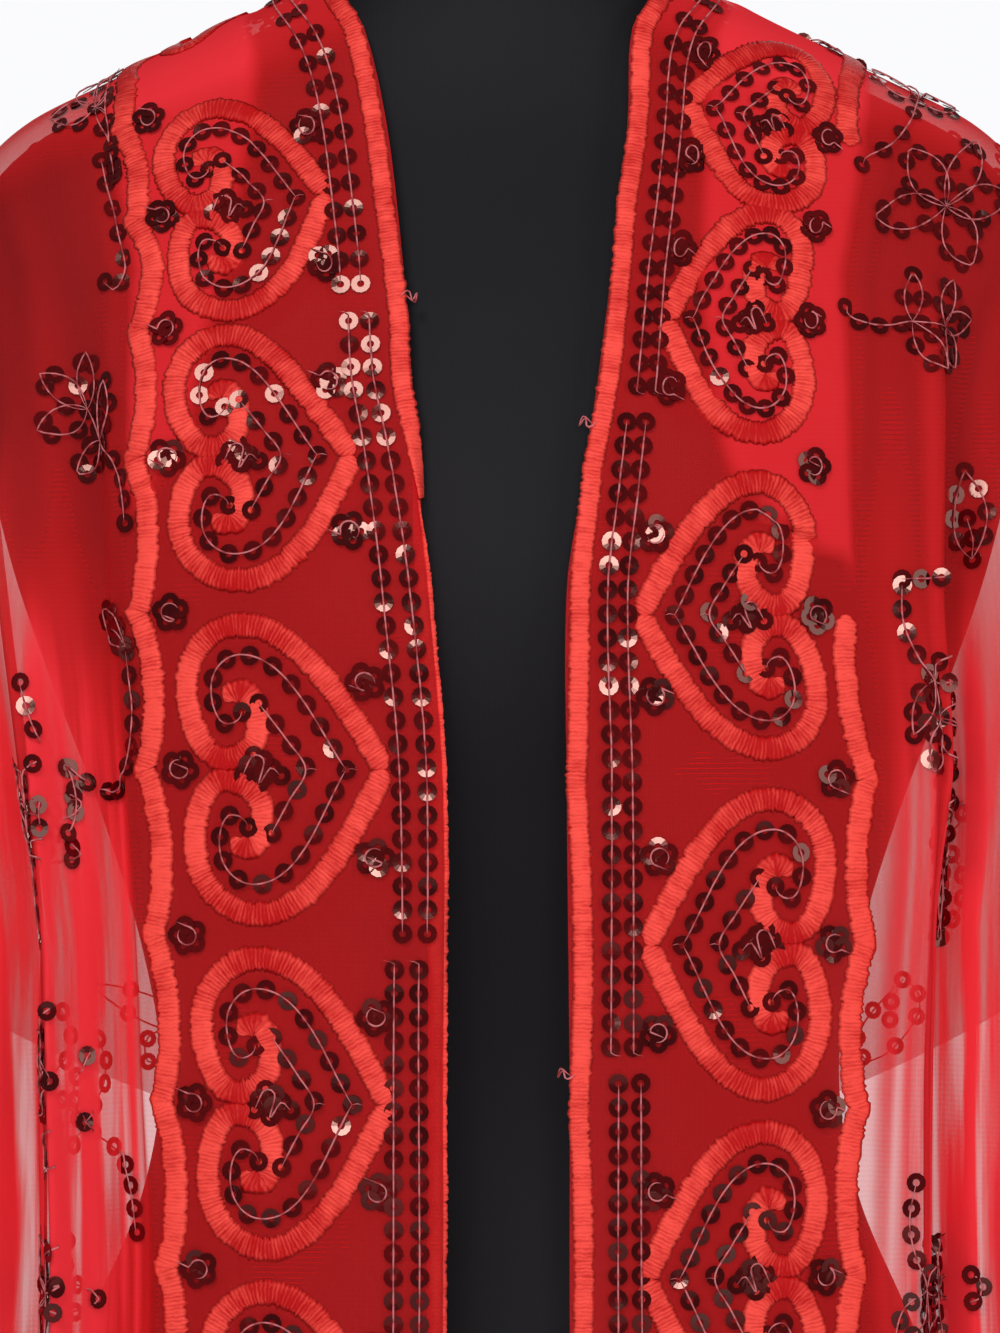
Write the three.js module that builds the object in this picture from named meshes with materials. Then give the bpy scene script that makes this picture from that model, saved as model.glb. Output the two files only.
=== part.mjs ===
import * as THREE from 'three';

// Evening stole of embroidered tulle, worn open on a limbless dress form.
// Millimetres, +Z up, the front faces -Y, and the photographed left is at -X.

// Cut of the stole and build of its cloth
const STOLE_LENGTH = 1700;
const STOLE_WIDTH = 450;
const BORDER_WIDTH = 104;
const CLOTH_WALL = 1.2;
const EDGING_WIDTH = 6;
const EDGING_HEIGHT = 1.2;
const SEAM_GAP = 0.3;
const TUCK_HEIGHT = 2.8;

// Offsets of the back's seam rows and of the edging, large enough to leave the seam gap at their closest points
const SHOULDER_GAP = 0.36;
const EDGING_LIFT = 0.45;

// Where the inner edge crosses the shoulder line and the nape
const SHOULDER_TOP = 1348;
const NAPE_TOP = 1358;

// The end hems run level this far across the cloth, then fall to the outer corner
const HEM_LEVEL = 120;

// Length over which the gathers rise below the shoulder, how the cloth wraps round the side, and the back's folds
const FOLD_RUN = 150;
const SIDE_WRAP = { from: 900, to: 700, length: 30 };
const BACK_FOLDS = { count: 7, rise: 9, from: 150 };

// Stand under the form
const BASE_RADIUS = 165;
const BASE_HEIGHT = 14;
const POLE_RADIUS = 14;
const COLLAR = { radius: 42, neck: 20, height: 20 };
const SOCKET = { radius: 30, neck: 19, height: 16 };
const FORM_FOOT = 745;
const NECK_TOP = 1412;
const CAP = { radius: 46, rim: 5, height: 16 };

// Grid sizes
const FRONT_ROWS = 24;
const HALF_FOLD_STEPS = 4;
const BACK_COLUMNS = 20;
const BACK_STEPS = 32;
const FORM_RINGS = 30;
const FORM_SIDES = 36;
const ARC_STEPS = 72;

// Torso sections: height, half width, depth to the front and to the back
const FORM_SECTIONS = [
  { z: 1412, half: 51, front: 48, back: 50 },
  { z: 1370, half: 55, front: 51, back: 54 },
  { z: 1350, half: 58, front: 52, back: 55 },
  { z: 1336, half: 66, front: 52, back: 57 },
  { z: 1326, half: 80, front: 52, back: 59 },
  { z: 1314, half: 104, front: 53, back: 62 },
  { z: 1300, half: 134, front: 56, back: 68 },
  { z: 1286, half: 161, front: 61, back: 75 },
  { z: 1270, half: 178, front: 69, back: 83 },
  { z: 1250, half: 186, front: 80, back: 91 },
  { z: 1220, half: 186, front: 96, back: 97 },
  { z: 1180, half: 181, front: 112, back: 99 },
  { z: 1136, half: 171, front: 120, back: 96 },
  { z: 1095, half: 157, front: 115, back: 88 },
  { z: 1050, half: 140, front: 100, back: 80 },
  { z: 1000, half: 125, front: 86, back: 74 },
  { z: 958, half: 119, front: 80, back: 72 },
  { z: 915, half: 126, front: 82, back: 80 },
  { z: 870, half: 145, front: 90, back: 97 },
  { z: 820, half: 163, front: 98, back: 113 },
  { z: 785, half: 167, front: 98, back: 115 },
  { z: 760, half: 161, front: 93, back: 109 },
  { z: 745, half: 148, front: 82, back: 98 },
];

// Middle of the cloth before its folds, resting on the torso above and hanging clear of it below
const CLOTH_SECTIONS = [
  { z: 1362, half: 62, front: 57, back: 60 },
  { z: 1350, half: 63.5, front: 57.5, back: 61 },
  { z: 1342, half: 69, front: 58.5, back: 63 },
  { z: 1332, half: 83, front: 59.5, back: 66 },
  { z: 1320, half: 107, front: 61, back: 70 },
  { z: 1306, half: 137, front: 64, back: 76 },
  { z: 1292, half: 165, front: 69, back: 84 },
  { z: 1276, half: 182, front: 77, back: 92 },
  { z: 1256, half: 192, front: 88, back: 100 },
  { z: 1220, half: 199, front: 105, back: 107 },
  { z: 1180, half: 204, front: 121, back: 109 },
  { z: 1136, half: 210, front: 129, back: 110 },
  { z: 1062, half: 221, front: 131, back: 111 },
  { z: 965, half: 234, front: 131, back: 112 },
  { z: 850, half: 239, front: 130, back: 112 },
  { z: 360, half: 243, front: 127, back: 112 },
];

// Each front stretch: the inner edge and the border's width across the chest, by height,
// then the gathers beyond the border, by distance across the cloth, with their rise when fully gathered
const FRONT_LEFT = {
  name: 'left',
  sign: -1,
  tuck: { from: 40, foot: 1185 },
  edges: [
    { z: 1348, inner: 63, band: 68 },
    { z: 1340, inner: 60, band: 69 },
    { z: 1330, inner: 52.5, band: 70 },
    { z: 1318, inner: 46, band: 72 },
    { z: 1288, inner: 39, band: 79 },
    { z: 1255, inner: 34.5, band: 86 },
    { z: 1200, inner: 30, band: 95 },
    { z: 1126, inner: 24, band: 101 },
    { z: 1062, inner: 19, band: 102 },
    { z: 960, inner: 19, band: 96 },
    { z: 888, inner: 19, band: 94 },
    { z: 360, inner: 24, band: 96 },
  ],
  folds: [
    { w: 107, rise: 0 },
    { w: 130, rise: -12 },
    { w: 166, rise: 17 },
    { w: 202, rise: -12 },
    { w: 246, rise: 24 },
    { w: 286, rise: -11 },
    { w: 330, rise: 25 },
    { w: 370, rise: -10 },
    { w: 414, rise: 25 },
    { w: 450, rise: -4 },
  ],
};
const FRONT_RIGHT = {
  name: 'right',
  sign: 1,
  tuck: { from: 30, foot: 1155 },
  edges: [
    { z: 1348, inner: 63, band: 60 },
    { z: 1340, inner: 59, band: 60 },
    { z: 1330, inner: 51, band: 61 },
    { z: 1318, inner: 45, band: 62 },
    { z: 1288, inner: 43.5, band: 67 },
    { z: 1255, inner: 40, band: 72 },
    { z: 1200, inner: 33, band: 82 },
    { z: 1126, inner: 22, band: 96 },
    { z: 1062, inner: 22, band: 104 },
    { z: 960, inner: 23, band: 99 },
    { z: 888, inner: 23, band: 98 },
    { z: 360, inner: 27, band: 98 },
  ],
  folds: [
    { w: 107, rise: 0 },
    { w: 136, rise: 16 },
    { w: 170, rise: -12 },
    { w: 216, rise: 26 },
    { w: 254, rise: -7 },
    { w: 300, rise: 30 },
    { w: 342, rise: -6 },
    { w: 380, rise: 26 },
    { w: 420, rise: -8 },
    { w: 450, rise: 14 },
  ],
};
const BORDER_COLUMNS = [0, 6.5, 18, 30, 44, 58, 72, 88, 104, 107];

// Soft step from 0 to 1 as t goes from 0 to 1
function ease(t) {
  const s = Math.min(Math.max(t, 0), 1);
  return s * s * (3 - 2 * s);
}

// One column of a table of falling heights, read at height z along a smooth curve
function read(rows, name, z) {
  const last = rows.length - 1;
  if (z >= rows[0].z) return rows[0][name];
  if (z <= rows[last].z) return rows[last][name];
  let i = 0;
  while (rows[i + 1].z > z) i += 1;
  const slopeAt = (j) => {
    const above = rows[Math.max(j - 1, 0)];
    const below = rows[Math.min(j + 1, last)];
    return (below[name] - above[name]) / (below.z - above.z);
  };
  const run = rows[i + 1].z - rows[i].z;
  const t = (z - rows[i].z) / run;
  const start = (2 * t ** 3 - 3 * t ** 2 + 1) * rows[i][name] + (t ** 3 - 2 * t ** 2 + t) * run * slopeAt(i);
  const end = (3 * t ** 2 - 2 * t ** 3) * rows[i + 1][name] + (t ** 3 - t ** 2) * run * slopeAt(i + 1);
  return start + end;
}

// Length down the cloth along the shoulder and side, or down the spine, from its top, one row a millimetre
function lengthDown(top, name) {
  const rows = [{ z: top, reach: 0 }];
  for (let z = top - 1; z >= FORM_FOOT; z -= 1) {
    const step = read(CLOTH_SECTIONS, name, z) - read(CLOTH_SECTIONS, name, z + 1);
    rows.push({ z, reach: rows[rows.length - 1].reach + Math.hypot(step, 1) });
  }
  return rows;
}
const SIDE_LINE = lengthDown(SHOULDER_TOP, 'half');
const SPINE_LINE = lengthDown(NAPE_TOP, 'back');

function heightAt(line, reach) {
  let i = 0;
  while (i < line.length - 2 && line[i + 1].reach < reach) i += 1;
  const t = (reach - line[i].reach) / (line[i + 1].reach - line[i].reach);
  return line[i].z - t;
}

function reachAt(line, z) {
  const i = Math.min(Math.max(line[0].z - z, 0), line.length - 1.001);
  const row = line[Math.floor(i)];
  const next = line[Math.floor(i) + 1];
  return row.reach + (next.reach - row.reach) * (i - Math.floor(i));
}

// Height where the line that runs w millimetres from the inner edge crosses the shoulder or the side
function crossing(front, w) {
  const band = front.edges[0].band;
  const reach = w < BORDER_WIDTH ? (w * band) / BORDER_WIDTH : band + w - BORDER_WIDTH;
  return heightAt(SIDE_LINE, reach);
}

// How far across the cloth the shoulder or side is at height z
function clothAtSide(front, z) {
  const band = front.edges[0].band;
  const reach = reachAt(SIDE_LINE, z);
  const w = reach < band ? (reach * BORDER_WIDTH) / band : BORDER_WIDTH + reach - band;
  return Math.min(w, STOLE_WIDTH);
}

// Rise of the gathers, in half waves between the rows of the table
function foldRise(front, w) {
  const rows = front.folds;
  if (w <= rows[0].w) return 0;
  let i = 0;
  while (i < rows.length - 2 && rows[i + 1].w < w) i += 1;
  const t = Math.min((w - rows[i].w) / (rows[i + 1].w - rows[i].w), 1);
  return rows[i].rise + ((rows[i + 1].rise - rows[i].rise) * (1 - Math.cos(Math.PI * t))) / 2;
}

// Angle on the elliptic section at height z where a point lies d millimetres from the inner edge
function angleAt(section, from, to, d) {
  let angle = from;
  let run = 0;
  const step = (to - from) / ARC_STEPS;
  for (let i = 0; i < ARC_STEPS; i += 1) {
    const middle = angle + step / 2;
    const speed = Math.hypot(section.half * Math.sin(middle), section.front * Math.cos(middle));
    const length = speed * Math.abs(step);
    if (run + length >= d) return angle + (step * (d - run)) / length;
    run += length;
    angle += step;
  }
  return to;
}

function arcLength(section, from, to) {
  let run = 0;
  const step = (to - from) / ARC_STEPS;
  for (let i = 0; i < ARC_STEPS; i += 1) {
    const middle = from + step * (i + 0.5);
    run += Math.hypot(section.half * Math.sin(middle), section.front * Math.cos(middle)) * Math.abs(step);
  }
  return run;
}

// Point of the front cloth, w from its inner edge at height z
function frontPoint(front, w, z) {
  const section = { half: read(CLOTH_SECTIONS, 'half', z), front: read(CLOTH_SECTIONS, 'front', z) };
  const inner = Math.min(read(front.edges, 'inner', z), section.half);
  const band = read(front.edges, 'band', z);
  const from = Math.acos(inner / section.half);
  const wrap = SIDE_WRAP.length * ease((SIDE_WRAP.from - z) / (SIDE_WRAP.from - SIDE_WRAP.to));
  const to = -wrap / section.front;
  const across = Math.max(arcLength(section, from, to), 1e-3);
  const side = clothAtSide(front, z);
  const spread = side < BORDER_WIDTH ? (side * band) / BORDER_WIDTH : band + side - BORDER_WIDTH;
  const stretch = Math.max(across / Math.max(spread, 1e-3), 1);
  let d = ((w * band) / BORDER_WIDTH) * stretch;
  let gather = 0;
  if (w > BORDER_WIDTH && side > BORDER_WIDTH) {
    const room = across - band * stretch;
    d = band * stretch + ((w - BORDER_WIDTH) * room) / (side - BORDER_WIDTH);
    gather = Math.sqrt(Math.max(1 - (room / (side - BORDER_WIDTH)) ** 2, 0));
  }
  const angle = angleAt(section, from, to, Math.min(d, across));
  const rise = foldRise(front, w) * gather * ease((crossing(front, w) - z) / FOLD_RUN);
  const normal = new THREE.Vector2(Math.cos(angle) / section.half, -Math.sin(angle) / section.front).normalize();
  return new THREE.Vector3(
    front.sign * (section.half * Math.cos(angle) + rise * normal.x),
    -section.front * Math.sin(angle) + rise * normal.y,
    z,
  );
}

// Point of the back cloth on the line w from the inner edge, turn going from 0 at the side to 1 at the spine
function backPoint(front, w, turn) {
  const side = crossing(front, w);
  const spine = heightAt(SPINE_LINE, w);
  const z = side + (spine - side) * ease(turn);
  const angle = (turn * Math.PI) / 2;
  const depth = BACK_FOLDS.rise * ease((w - BACK_FOLDS.from) / (STOLE_WIDTH - BACK_FOLDS.from));
  const wave = Math.sin(angle) * (1 - Math.cos(BACK_FOLDS.count * angle)) / 2;
  const half = read(CLOTH_SECTIONS, 'half', z);
  const back = read(CLOTH_SECTIONS, 'back', z);
  const normal = new THREE.Vector2(Math.cos(angle) / half, Math.sin(angle) / back).normalize();
  return new THREE.Vector3(
    front.sign * (half * Math.cos(angle) + depth * wave * normal.x),
    back * Math.sin(angle) + depth * wave * normal.y,
    z,
  );
}

// Outward direction across the shoulder or side line, in the plane of that line
function sideNormal(front, z) {
  const slope = read(CLOTH_SECTIONS, 'half', z - 0.5) - read(CLOTH_SECTIONS, 'half', z + 0.5);
  return new THREE.Vector3(front.sign, 0, slope).normalize();
}

// Length of the back cloth from the spine to the side on one line
function backLength(front, w) {
  let run = 0;
  for (let i = 0; i < BACK_STEPS; i += 1) {
    run += backPoint(front, w, i / BACK_STEPS).distanceTo(backPoint(front, w, (i + 1) / BACK_STEPS));
  }
  return run;
}

// Height that the end reaches on one line, the back and the front being half the cut length
function hang(front, w) {
  return crossing(front, w) - (STOLE_LENGTH / 2 - backLength(front, w));
}

// Unit normals of a grid of points, from its neighbours, pointing along rows cross columns
function gridNormals(grid) {
  const rows = grid.length;
  const columns = grid[0].length;
  return grid.map((row, i) =>
    row.map((_, j) => {
      const down = grid[Math.min(i + 1, rows - 1)][j].clone().sub(grid[Math.max(i - 1, 0)][j]);
      const across = grid[i][Math.min(j + 1, columns - 1)].clone().sub(grid[i][Math.max(j - 1, 0)]);
      return down.cross(across).normalize();
    }),
  );
}

// Closed wall between two grids of points, the outer one first; a turned grid has its faces turned back
function wall(outer, inner, turned) {
  const rows = outer.length;
  const columns = outer[0].length;
  const positions = [...outer.flat(), ...inner.flat()].flatMap((p) => [p.x, p.y, p.z]);
  const faces = [];
  const quad = (a, b, c, d) => {
    if (turned) faces.push(a, c, b, a, d, c);
    else faces.push(a, b, c, a, c, d);
  };
  const out = (i, j) => i * columns + j;
  const into = (i, j) => rows * columns + i * columns + j;
  for (let i = 0; i < rows - 1; i += 1) {
    for (let j = 0; j < columns - 1; j += 1) {
      quad(out(i, j), out(i + 1, j), out(i + 1, j + 1), out(i, j + 1));
      quad(into(i, j), into(i, j + 1), into(i + 1, j + 1), into(i + 1, j));
    }
    quad(out(i, 0), into(i, 0), into(i + 1, 0), out(i + 1, 0));
    quad(out(i, columns - 1), out(i + 1, columns - 1), into(i + 1, columns - 1), into(i, columns - 1));
  }
  for (let j = 0; j < columns - 1; j += 1) {
    quad(out(0, j), out(0, j + 1), into(0, j + 1), into(0, j));
    quad(out(rows - 1, j), into(rows - 1, j), into(rows - 1, j + 1), out(rows - 1, j + 1));
  }
  const geometry = new THREE.BufferGeometry();
  geometry.setAttribute('position', new THREE.Float32BufferAttribute(positions, 3));
  geometry.setIndex(faces);
  geometry.computeVertexNormals();
  return geometry;
}

// The grid moved along its normals by a distance for each point
function moved(grid, normals, distance) {
  return grid.map((row, i) => row.map((p, j) => p.clone().addScaledVector(normals[i][j], distance(i, j))));
}

// Strip of edging on the outer face of the first two columns of a cloth grid
function edging(outer, normals, turned) {
  const share = [0.05, EDGING_WIDTH / BORDER_COLUMNS[1]];
  const lift = (height) =>
    outer.map((row, i) =>
      share.map((t) => row[0].clone().lerp(row[1], t).addScaledVector(normals[i][0], height)),
    );
  return wall(lift(EDGING_LIFT + EDGING_HEIGHT), lift(EDGING_LIFT), turned);
}

function mesh(name, geometry, material) {
  const piece = new THREE.Mesh(geometry, material);
  piece.name = name;
  return piece;
}

// One front stretch with its edging
function buildFront(front, tulle, satin) {
  const columns = [...BORDER_COLUMNS];
  for (let i = 0; i < front.folds.length - 1; i += 1) {
    const start = front.folds[i].w;
    const width = front.folds[i + 1].w - start;
    for (let k = 1; k <= HALF_FOLD_STEPS; k += 1) columns.push(start + (width * k) / HALF_FOLD_STEPS);
  }
  const innerHem = hang(front, 0);
  const outerHem = hang(front, STOLE_WIDTH);
  const grid = [];
  for (let i = 0; i <= FRONT_ROWS; i += 1) {
    const depth = (i / FRONT_ROWS) ** 2;
    grid.push(
      columns.map((w) => {
        const top = crossing(front, w);
        const hem = innerHem + (outerHem - innerHem) * ease((w - HEM_LEVEL) / (STOLE_WIDTH - HEM_LEVEL));
        return frontPoint(front, w, top + (hem - top) * depth);
      }),
    );
  }
  const normals = gridNormals(grid).map((row) => row.map((n) => n.multiplyScalar(front.sign)));
  columns.forEach((w, j) => {
    normals[0][j].copy(sideNormal(front, grid[0][j].z));
  });
  const tuck = (i, j) => {
    const across = columns[j] > BORDER_WIDTH ? 0 : ease((columns[j] - front.tuck.from) / 14);
    return TUCK_HEIGHT * across * ease((grid[i][j].z - front.tuck.foot) / 40) * ease(i / 2);
  };
  const outer = moved(grid, normals, (i, j) => CLOTH_WALL / 2 + tuck(i, j));
  const inner = moved(grid, normals, () => -CLOTH_WALL / 2);
  const turned = front.sign < 0;
  return [
    mesh(`stole_front_${front.name}`, wall(outer, inner, turned), tulle),
    mesh(`edging_front_${front.name}`, edging(outer, normals, turned), satin),
  ];
}

// The back stretch from one shoulder line to the other, with its edging
function buildBack(tulle, satin) {
  const columns = [0, BORDER_COLUMNS[1]];
  for (let k = 1; k < BACK_COLUMNS; k += 1) {
    columns.push(BORDER_COLUMNS[1] + ((STOLE_WIDTH - BORDER_COLUMNS[1]) * k) / (BACK_COLUMNS - 1));
  }
  const grid = [];
  for (let i = 0; i <= BACK_STEPS; i += 1) {
    const turn = (2 * i) / BACK_STEPS;
    const front = turn <= 1 ? FRONT_LEFT : FRONT_RIGHT;
    grid.push(columns.map((w) => backPoint(front, w, turn <= 1 ? turn : 2 - turn)));
  }
  const normals = gridNormals(grid);
  const outward = normals[BACK_STEPS / 2][BACK_COLUMNS / 2].y > 0 ? 1 : -1;
  normals.forEach((row) => row.forEach((n) => n.multiplyScalar(outward)));
  [[0, FRONT_LEFT], [BACK_STEPS, FRONT_RIGHT]].forEach(([i, front]) => {
    columns.forEach((w, j) => {
      normals[i][j].copy(sideNormal(front, grid[i][j].z));
      grid[i][j].y += SHOULDER_GAP;
    });
  });
  const outer = moved(grid, normals, () => CLOTH_WALL / 2);
  const inner = moved(grid, normals, () => -CLOTH_WALL / 2);
  return [
    mesh('stole_back', wall(outer, inner, outward < 0), tulle),
    mesh('edging_back', edging(outer, normals, outward < 0), satin),
  ];
}

// Torso and neck from elliptic rings, closed flat at both ends
function buildTorso(cover) {
  const rings = [];
  for (let i = 0; i <= FORM_RINGS; i += 1) {
    const t = i / FORM_RINGS;
    const z = NECK_TOP + (FORM_FOOT - NECK_TOP) * (0.55 * t + 0.45 * ease(t));
    const ring = [];
    for (let k = 0; k < FORM_SIDES; k += 1) {
      const angle = (2 * Math.PI * k) / FORM_SIDES;
      const depth = read(FORM_SECTIONS, Math.sin(angle) < 0 ? 'front' : 'back', z);
      const x = read(FORM_SECTIONS, 'half', z) * Math.cos(angle);
      ring.push(new THREE.Vector3(x, depth * Math.sin(angle), z));
    }
    rings.push(ring);
  }
  const positions = rings.flat().flatMap((p) => [p.x, p.y, p.z]);
  positions.push(0, 0, NECK_TOP, 0, 0, FORM_FOOT);
  const crown = (FORM_RINGS + 1) * FORM_SIDES;
  const faces = [];
  for (let k = 0; k < FORM_SIDES; k += 1) {
    const next = (k + 1) % FORM_SIDES;
    for (let i = 0; i < FORM_RINGS; i += 1) {
      const a = i * FORM_SIDES;
      const b = a + FORM_SIDES;
      faces.push(a + k, b + k, b + next, a + k, b + next, a + next);
    }
    faces.push(crown, k, next);
    const foot = FORM_RINGS * FORM_SIDES;
    faces.push(crown + 1, foot + next, foot + k);
  }
  const geometry = new THREE.BufferGeometry();
  geometry.setAttribute('position', new THREE.Float32BufferAttribute(positions, 3));
  geometry.setIndex(faces);
  geometry.computeVertexNormals();
  return mesh('form_torso', geometry, cover);
}

// A turned piece from radius and height pairs that start and end on the axis
function turnedPiece(name, profile, sides, material) {
  const points = profile.map(([radius, height]) => new THREE.Vector2(radius, height));
  const piece = mesh(name, new THREE.LatheGeometry(points, sides), material);
  piece.geometry.rotateX(Math.PI / 2);
  return piece;
}

function buildStand(cover, steel) {
  const base = [[0, 0], [BASE_RADIUS, 0], [BASE_RADIUS, 5], [BASE_RADIUS - 4, 9], [60, BASE_HEIGHT], [0, BASE_HEIGHT]];
  const socketFoot = BASE_HEIGHT + SEAM_GAP;
  const socketTop = socketFoot + SOCKET.height;
  const collarTop = FORM_FOOT - SEAM_GAP;
  const collarFoot = collarTop - COLLAR.height;
  const poleFoot = socketTop + SEAM_GAP;
  const poleTop = collarFoot - SEAM_GAP;
  const capFoot = NECK_TOP + SEAM_GAP;
  const socket = [[0, socketFoot], [SOCKET.radius, socketFoot], [SOCKET.neck, socketTop], [0, socketTop]];
  const pole = [[0, poleFoot], [POLE_RADIUS, poleFoot], [POLE_RADIUS, poleTop], [0, poleTop]];
  const collar = [[0, collarFoot], [COLLAR.neck, collarFoot], [COLLAR.radius, collarTop], [0, collarTop]];
  const cap = [
    [0, capFoot],
    [CAP.radius, capFoot],
    [CAP.radius, capFoot + CAP.rim],
    [CAP.radius * 0.8, capFoot + CAP.rim + 6],
    [CAP.radius * 0.4, capFoot + CAP.height - 2],
    [0, capFoot + CAP.height],
  ];
  return [
    turnedPiece('form_base', base, 48, steel),
    turnedPiece('form_socket', socket, 24, steel),
    turnedPiece('form_pole', pole, 24, steel),
    turnedPiece('form_collar', collar, 24, steel),
    turnedPiece('form_cap', cap, 32, cover),
  ];
}

// Stands the finished group on the floor, centred over its own outline
function centred(group) {
  const box = new THREE.Box3().setFromObject(group);
  const middle = box.getCenter(new THREE.Vector3());
  group.position.set(-middle.x, -middle.y, -box.min.z);
  return group;
}

const tulle = new THREE.MeshStandardMaterial({ color: 0xb3262b, roughness: 0.75, metalness: 0 });
const satin = new THREE.MeshStandardMaterial({ color: 0xe23a38, roughness: 0.45, metalness: 0 });
const cover = new THREE.MeshStandardMaterial({ color: 0x1f1d22, roughness: 0.5, metalness: 0 });
const steel = new THREE.MeshStandardMaterial({ color: 0x17171a, roughness: 0.4, metalness: 0.6 });

const stole = new THREE.Group();
stole.add(
  ...buildFront(FRONT_LEFT, tulle, satin),
  ...buildFront(FRONT_RIGHT, tulle, satin),
  ...buildBack(tulle, satin),
  buildTorso(cover),
  ...buildStand(cover, steel),
);

export default centred(stole);
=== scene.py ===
import math

import bpy
import numpy as np
from bpy.props import FloatProperty, FloatVectorProperty, IntProperty, PointerProperty
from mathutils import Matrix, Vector


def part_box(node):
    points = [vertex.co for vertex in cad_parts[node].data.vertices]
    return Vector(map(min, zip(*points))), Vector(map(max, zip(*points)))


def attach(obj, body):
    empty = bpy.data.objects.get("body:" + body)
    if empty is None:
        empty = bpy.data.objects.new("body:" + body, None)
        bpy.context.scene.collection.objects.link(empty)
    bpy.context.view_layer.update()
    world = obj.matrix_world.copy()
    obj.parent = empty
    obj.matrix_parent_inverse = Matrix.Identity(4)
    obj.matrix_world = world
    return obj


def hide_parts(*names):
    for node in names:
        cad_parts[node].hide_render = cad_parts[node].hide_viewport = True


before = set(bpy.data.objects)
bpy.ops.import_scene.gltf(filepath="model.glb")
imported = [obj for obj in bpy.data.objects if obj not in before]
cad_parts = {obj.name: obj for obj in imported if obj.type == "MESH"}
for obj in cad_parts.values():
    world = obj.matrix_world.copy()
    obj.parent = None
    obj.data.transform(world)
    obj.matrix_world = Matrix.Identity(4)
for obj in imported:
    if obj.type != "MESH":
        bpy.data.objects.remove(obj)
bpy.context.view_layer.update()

bl_info = {
    "name": "Evening stole on a dress form",
    "version": (1, 0, 0),
    "blender": (4, 5, 0),
    "location": "View3D > Sidebar > Stole",
    "description": "Builds the looks of an embroidered tulle stole around its packed frame",
    "category": "Add Mesh",
}

# The model is worked out in millimetres about the pole's axis, and AXIS puts it into the frame, in metres
BASE_LOW, BASE_HIGH = (np.array(corner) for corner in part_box("form_base"))
AXIS = np.array([(BASE_LOW[0] + BASE_HIGH[0]) / 2, (BASE_LOW[1] + BASE_HIGH[1]) / 2, 0.0])
MM = 0.001

SHOULDER_TOP = 1348
NAPE_TOP = 1358
HEM_LEVEL = 120
FOLD_RUN = 150
WRAP = {"from": 900, "to": 700, "length": 30}
BACK_FOLDS = {"count": 7, "rise": 9, "from": 150}
FORM_FOOT = 745
NECK_TOP = 1412
ARC_STEPS = 40
MIDDLE_OF_BORDER = 52
LEVEL_RUN = 120


def table(columns, *rows):
    """Rows of numbers as a dict of named arrays."""
    return dict(zip(columns.split(), np.array(rows, float).T))


FORM_SECTIONS = table(
    "z half front back",
    (1412, 51, 48, 50), (1370, 55, 51, 54), (1350, 58, 52, 55), (1336, 66, 52, 57), (1326, 80, 52, 59),
    (1314, 104, 53, 62), (1300, 134, 56, 68), (1286, 161, 61, 75), (1270, 178, 69, 83),
    (1250, 186, 80, 91), (1220, 186, 96, 97), (1180, 181, 112, 99), (1136, 171, 120, 96),
    (1095, 157, 115, 88), (1050, 140, 100, 80), (1000, 125, 86, 74), (958, 119, 80, 72),
    (915, 126, 82, 80), (870, 145, 90, 97), (820, 163, 98, 113), (785, 167, 98, 115),
    (760, 161, 93, 109), (745, 148, 82, 98),
)

CLOTH_SECTIONS = table(
    "z half front back",
    (1362, 62, 57, 60), (1350, 63.5, 57.5, 61), (1342, 69, 58.5, 63), (1332, 83, 59.5, 66),
    (1320, 107, 61, 70), (1306, 137, 64, 76), (1292, 165, 69, 84), (1276, 182, 77, 92),
    (1256, 192, 88, 100), (1220, 199, 105, 107), (1180, 204, 121, 109), (1136, 210, 129, 110),
    (1062, 221, 131, 111), (965, 234, 131, 112), (850, 239, 130, 112), (360, 243, 127, 112),
)

# Each front: how much thinner the net is made over the shoulder, a painted shade where the dark form shows
# through more, where its inner edge runs, how wide the border is across the chest, how far its edge is
# rolled under and where the tuck in the border begins, then how its gathers rise
LEFT = {
    "sign": -1,
    "painted_shade_thinning": 0.3,
    "edges": table(
        "z inner band roll tuck",
        (1348, 63, 68, 0, 36), (1340, 60, 69, 0, 36), (1330, 52.5, 70, 0, 37), (1318, 46, 72, 0, 38),
        (1288, 39, 79, 0, 48), (1255, 34.5, 86, 0, 60), (1218, 31, 93, 0, 72), (1176, 28, 97, 0.6, 84),
        (1150, 26, 99.5, 0.82, 106), (1126, 24, 101, 0.92, 112), (1062, 19, 102, 1, 112),
        (960, 19, 96, 1, 112), (888, 19, 94, 1, 112), (360, 24, 96, 1, 112),
    ),
    "folds": table(
        "w rise",
        (107, 0), (130, -12), (166, 17), (202, -12), (246, 24), (286, -11), (330, 25), (370, -10),
        (414, 25), (450, -4),
    ),
}
RIGHT = {
    "sign": 1,
    "painted_shade_thinning": 0.05,
    "edges": table(
        "z inner band roll tuck",
        (1348, 63, 60, 0, 28), (1340, 59, 60, 0, 28), (1330, 51, 61, 0, 29), (1318, 45, 62, 0, 30),
        (1288, 43.5, 67, 0, 32), (1255, 40, 72, 0, 35), (1200, 33, 82, 0, 44), (1160, 27, 89, 0, 60),
        (1126, 22, 96, 0, 112), (1062, 22, 104, 0, 112), (960, 23, 99, 0, 112), (888, 23, 98, 0, 112),
        (360, 27, 98, 0, 112),
    ),
    "folds": table(
        "w rise",
        (107, 0), (136, 16), (170, -12), (216, 26), (254, -7), (300, 30), (342, -6), (380, 26),
        (420, -8), (450, 14),
    ),
}
ROLLED = {"cloth": 12, "radius": 3}
SHOULDER_PACK = 1.8
TUCK = {"height": 2.8, "bend": 9, "end": 111, "drop": 7}
BUNCH = {"height": 2.4, "from": 112, "across": 34, "top": 1150, "down": 110}
LAYERS = {"bunched": 1.3, "ridge": 6, "tuck": 1.8, "most": 3.5, "back": 1.1}
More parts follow.
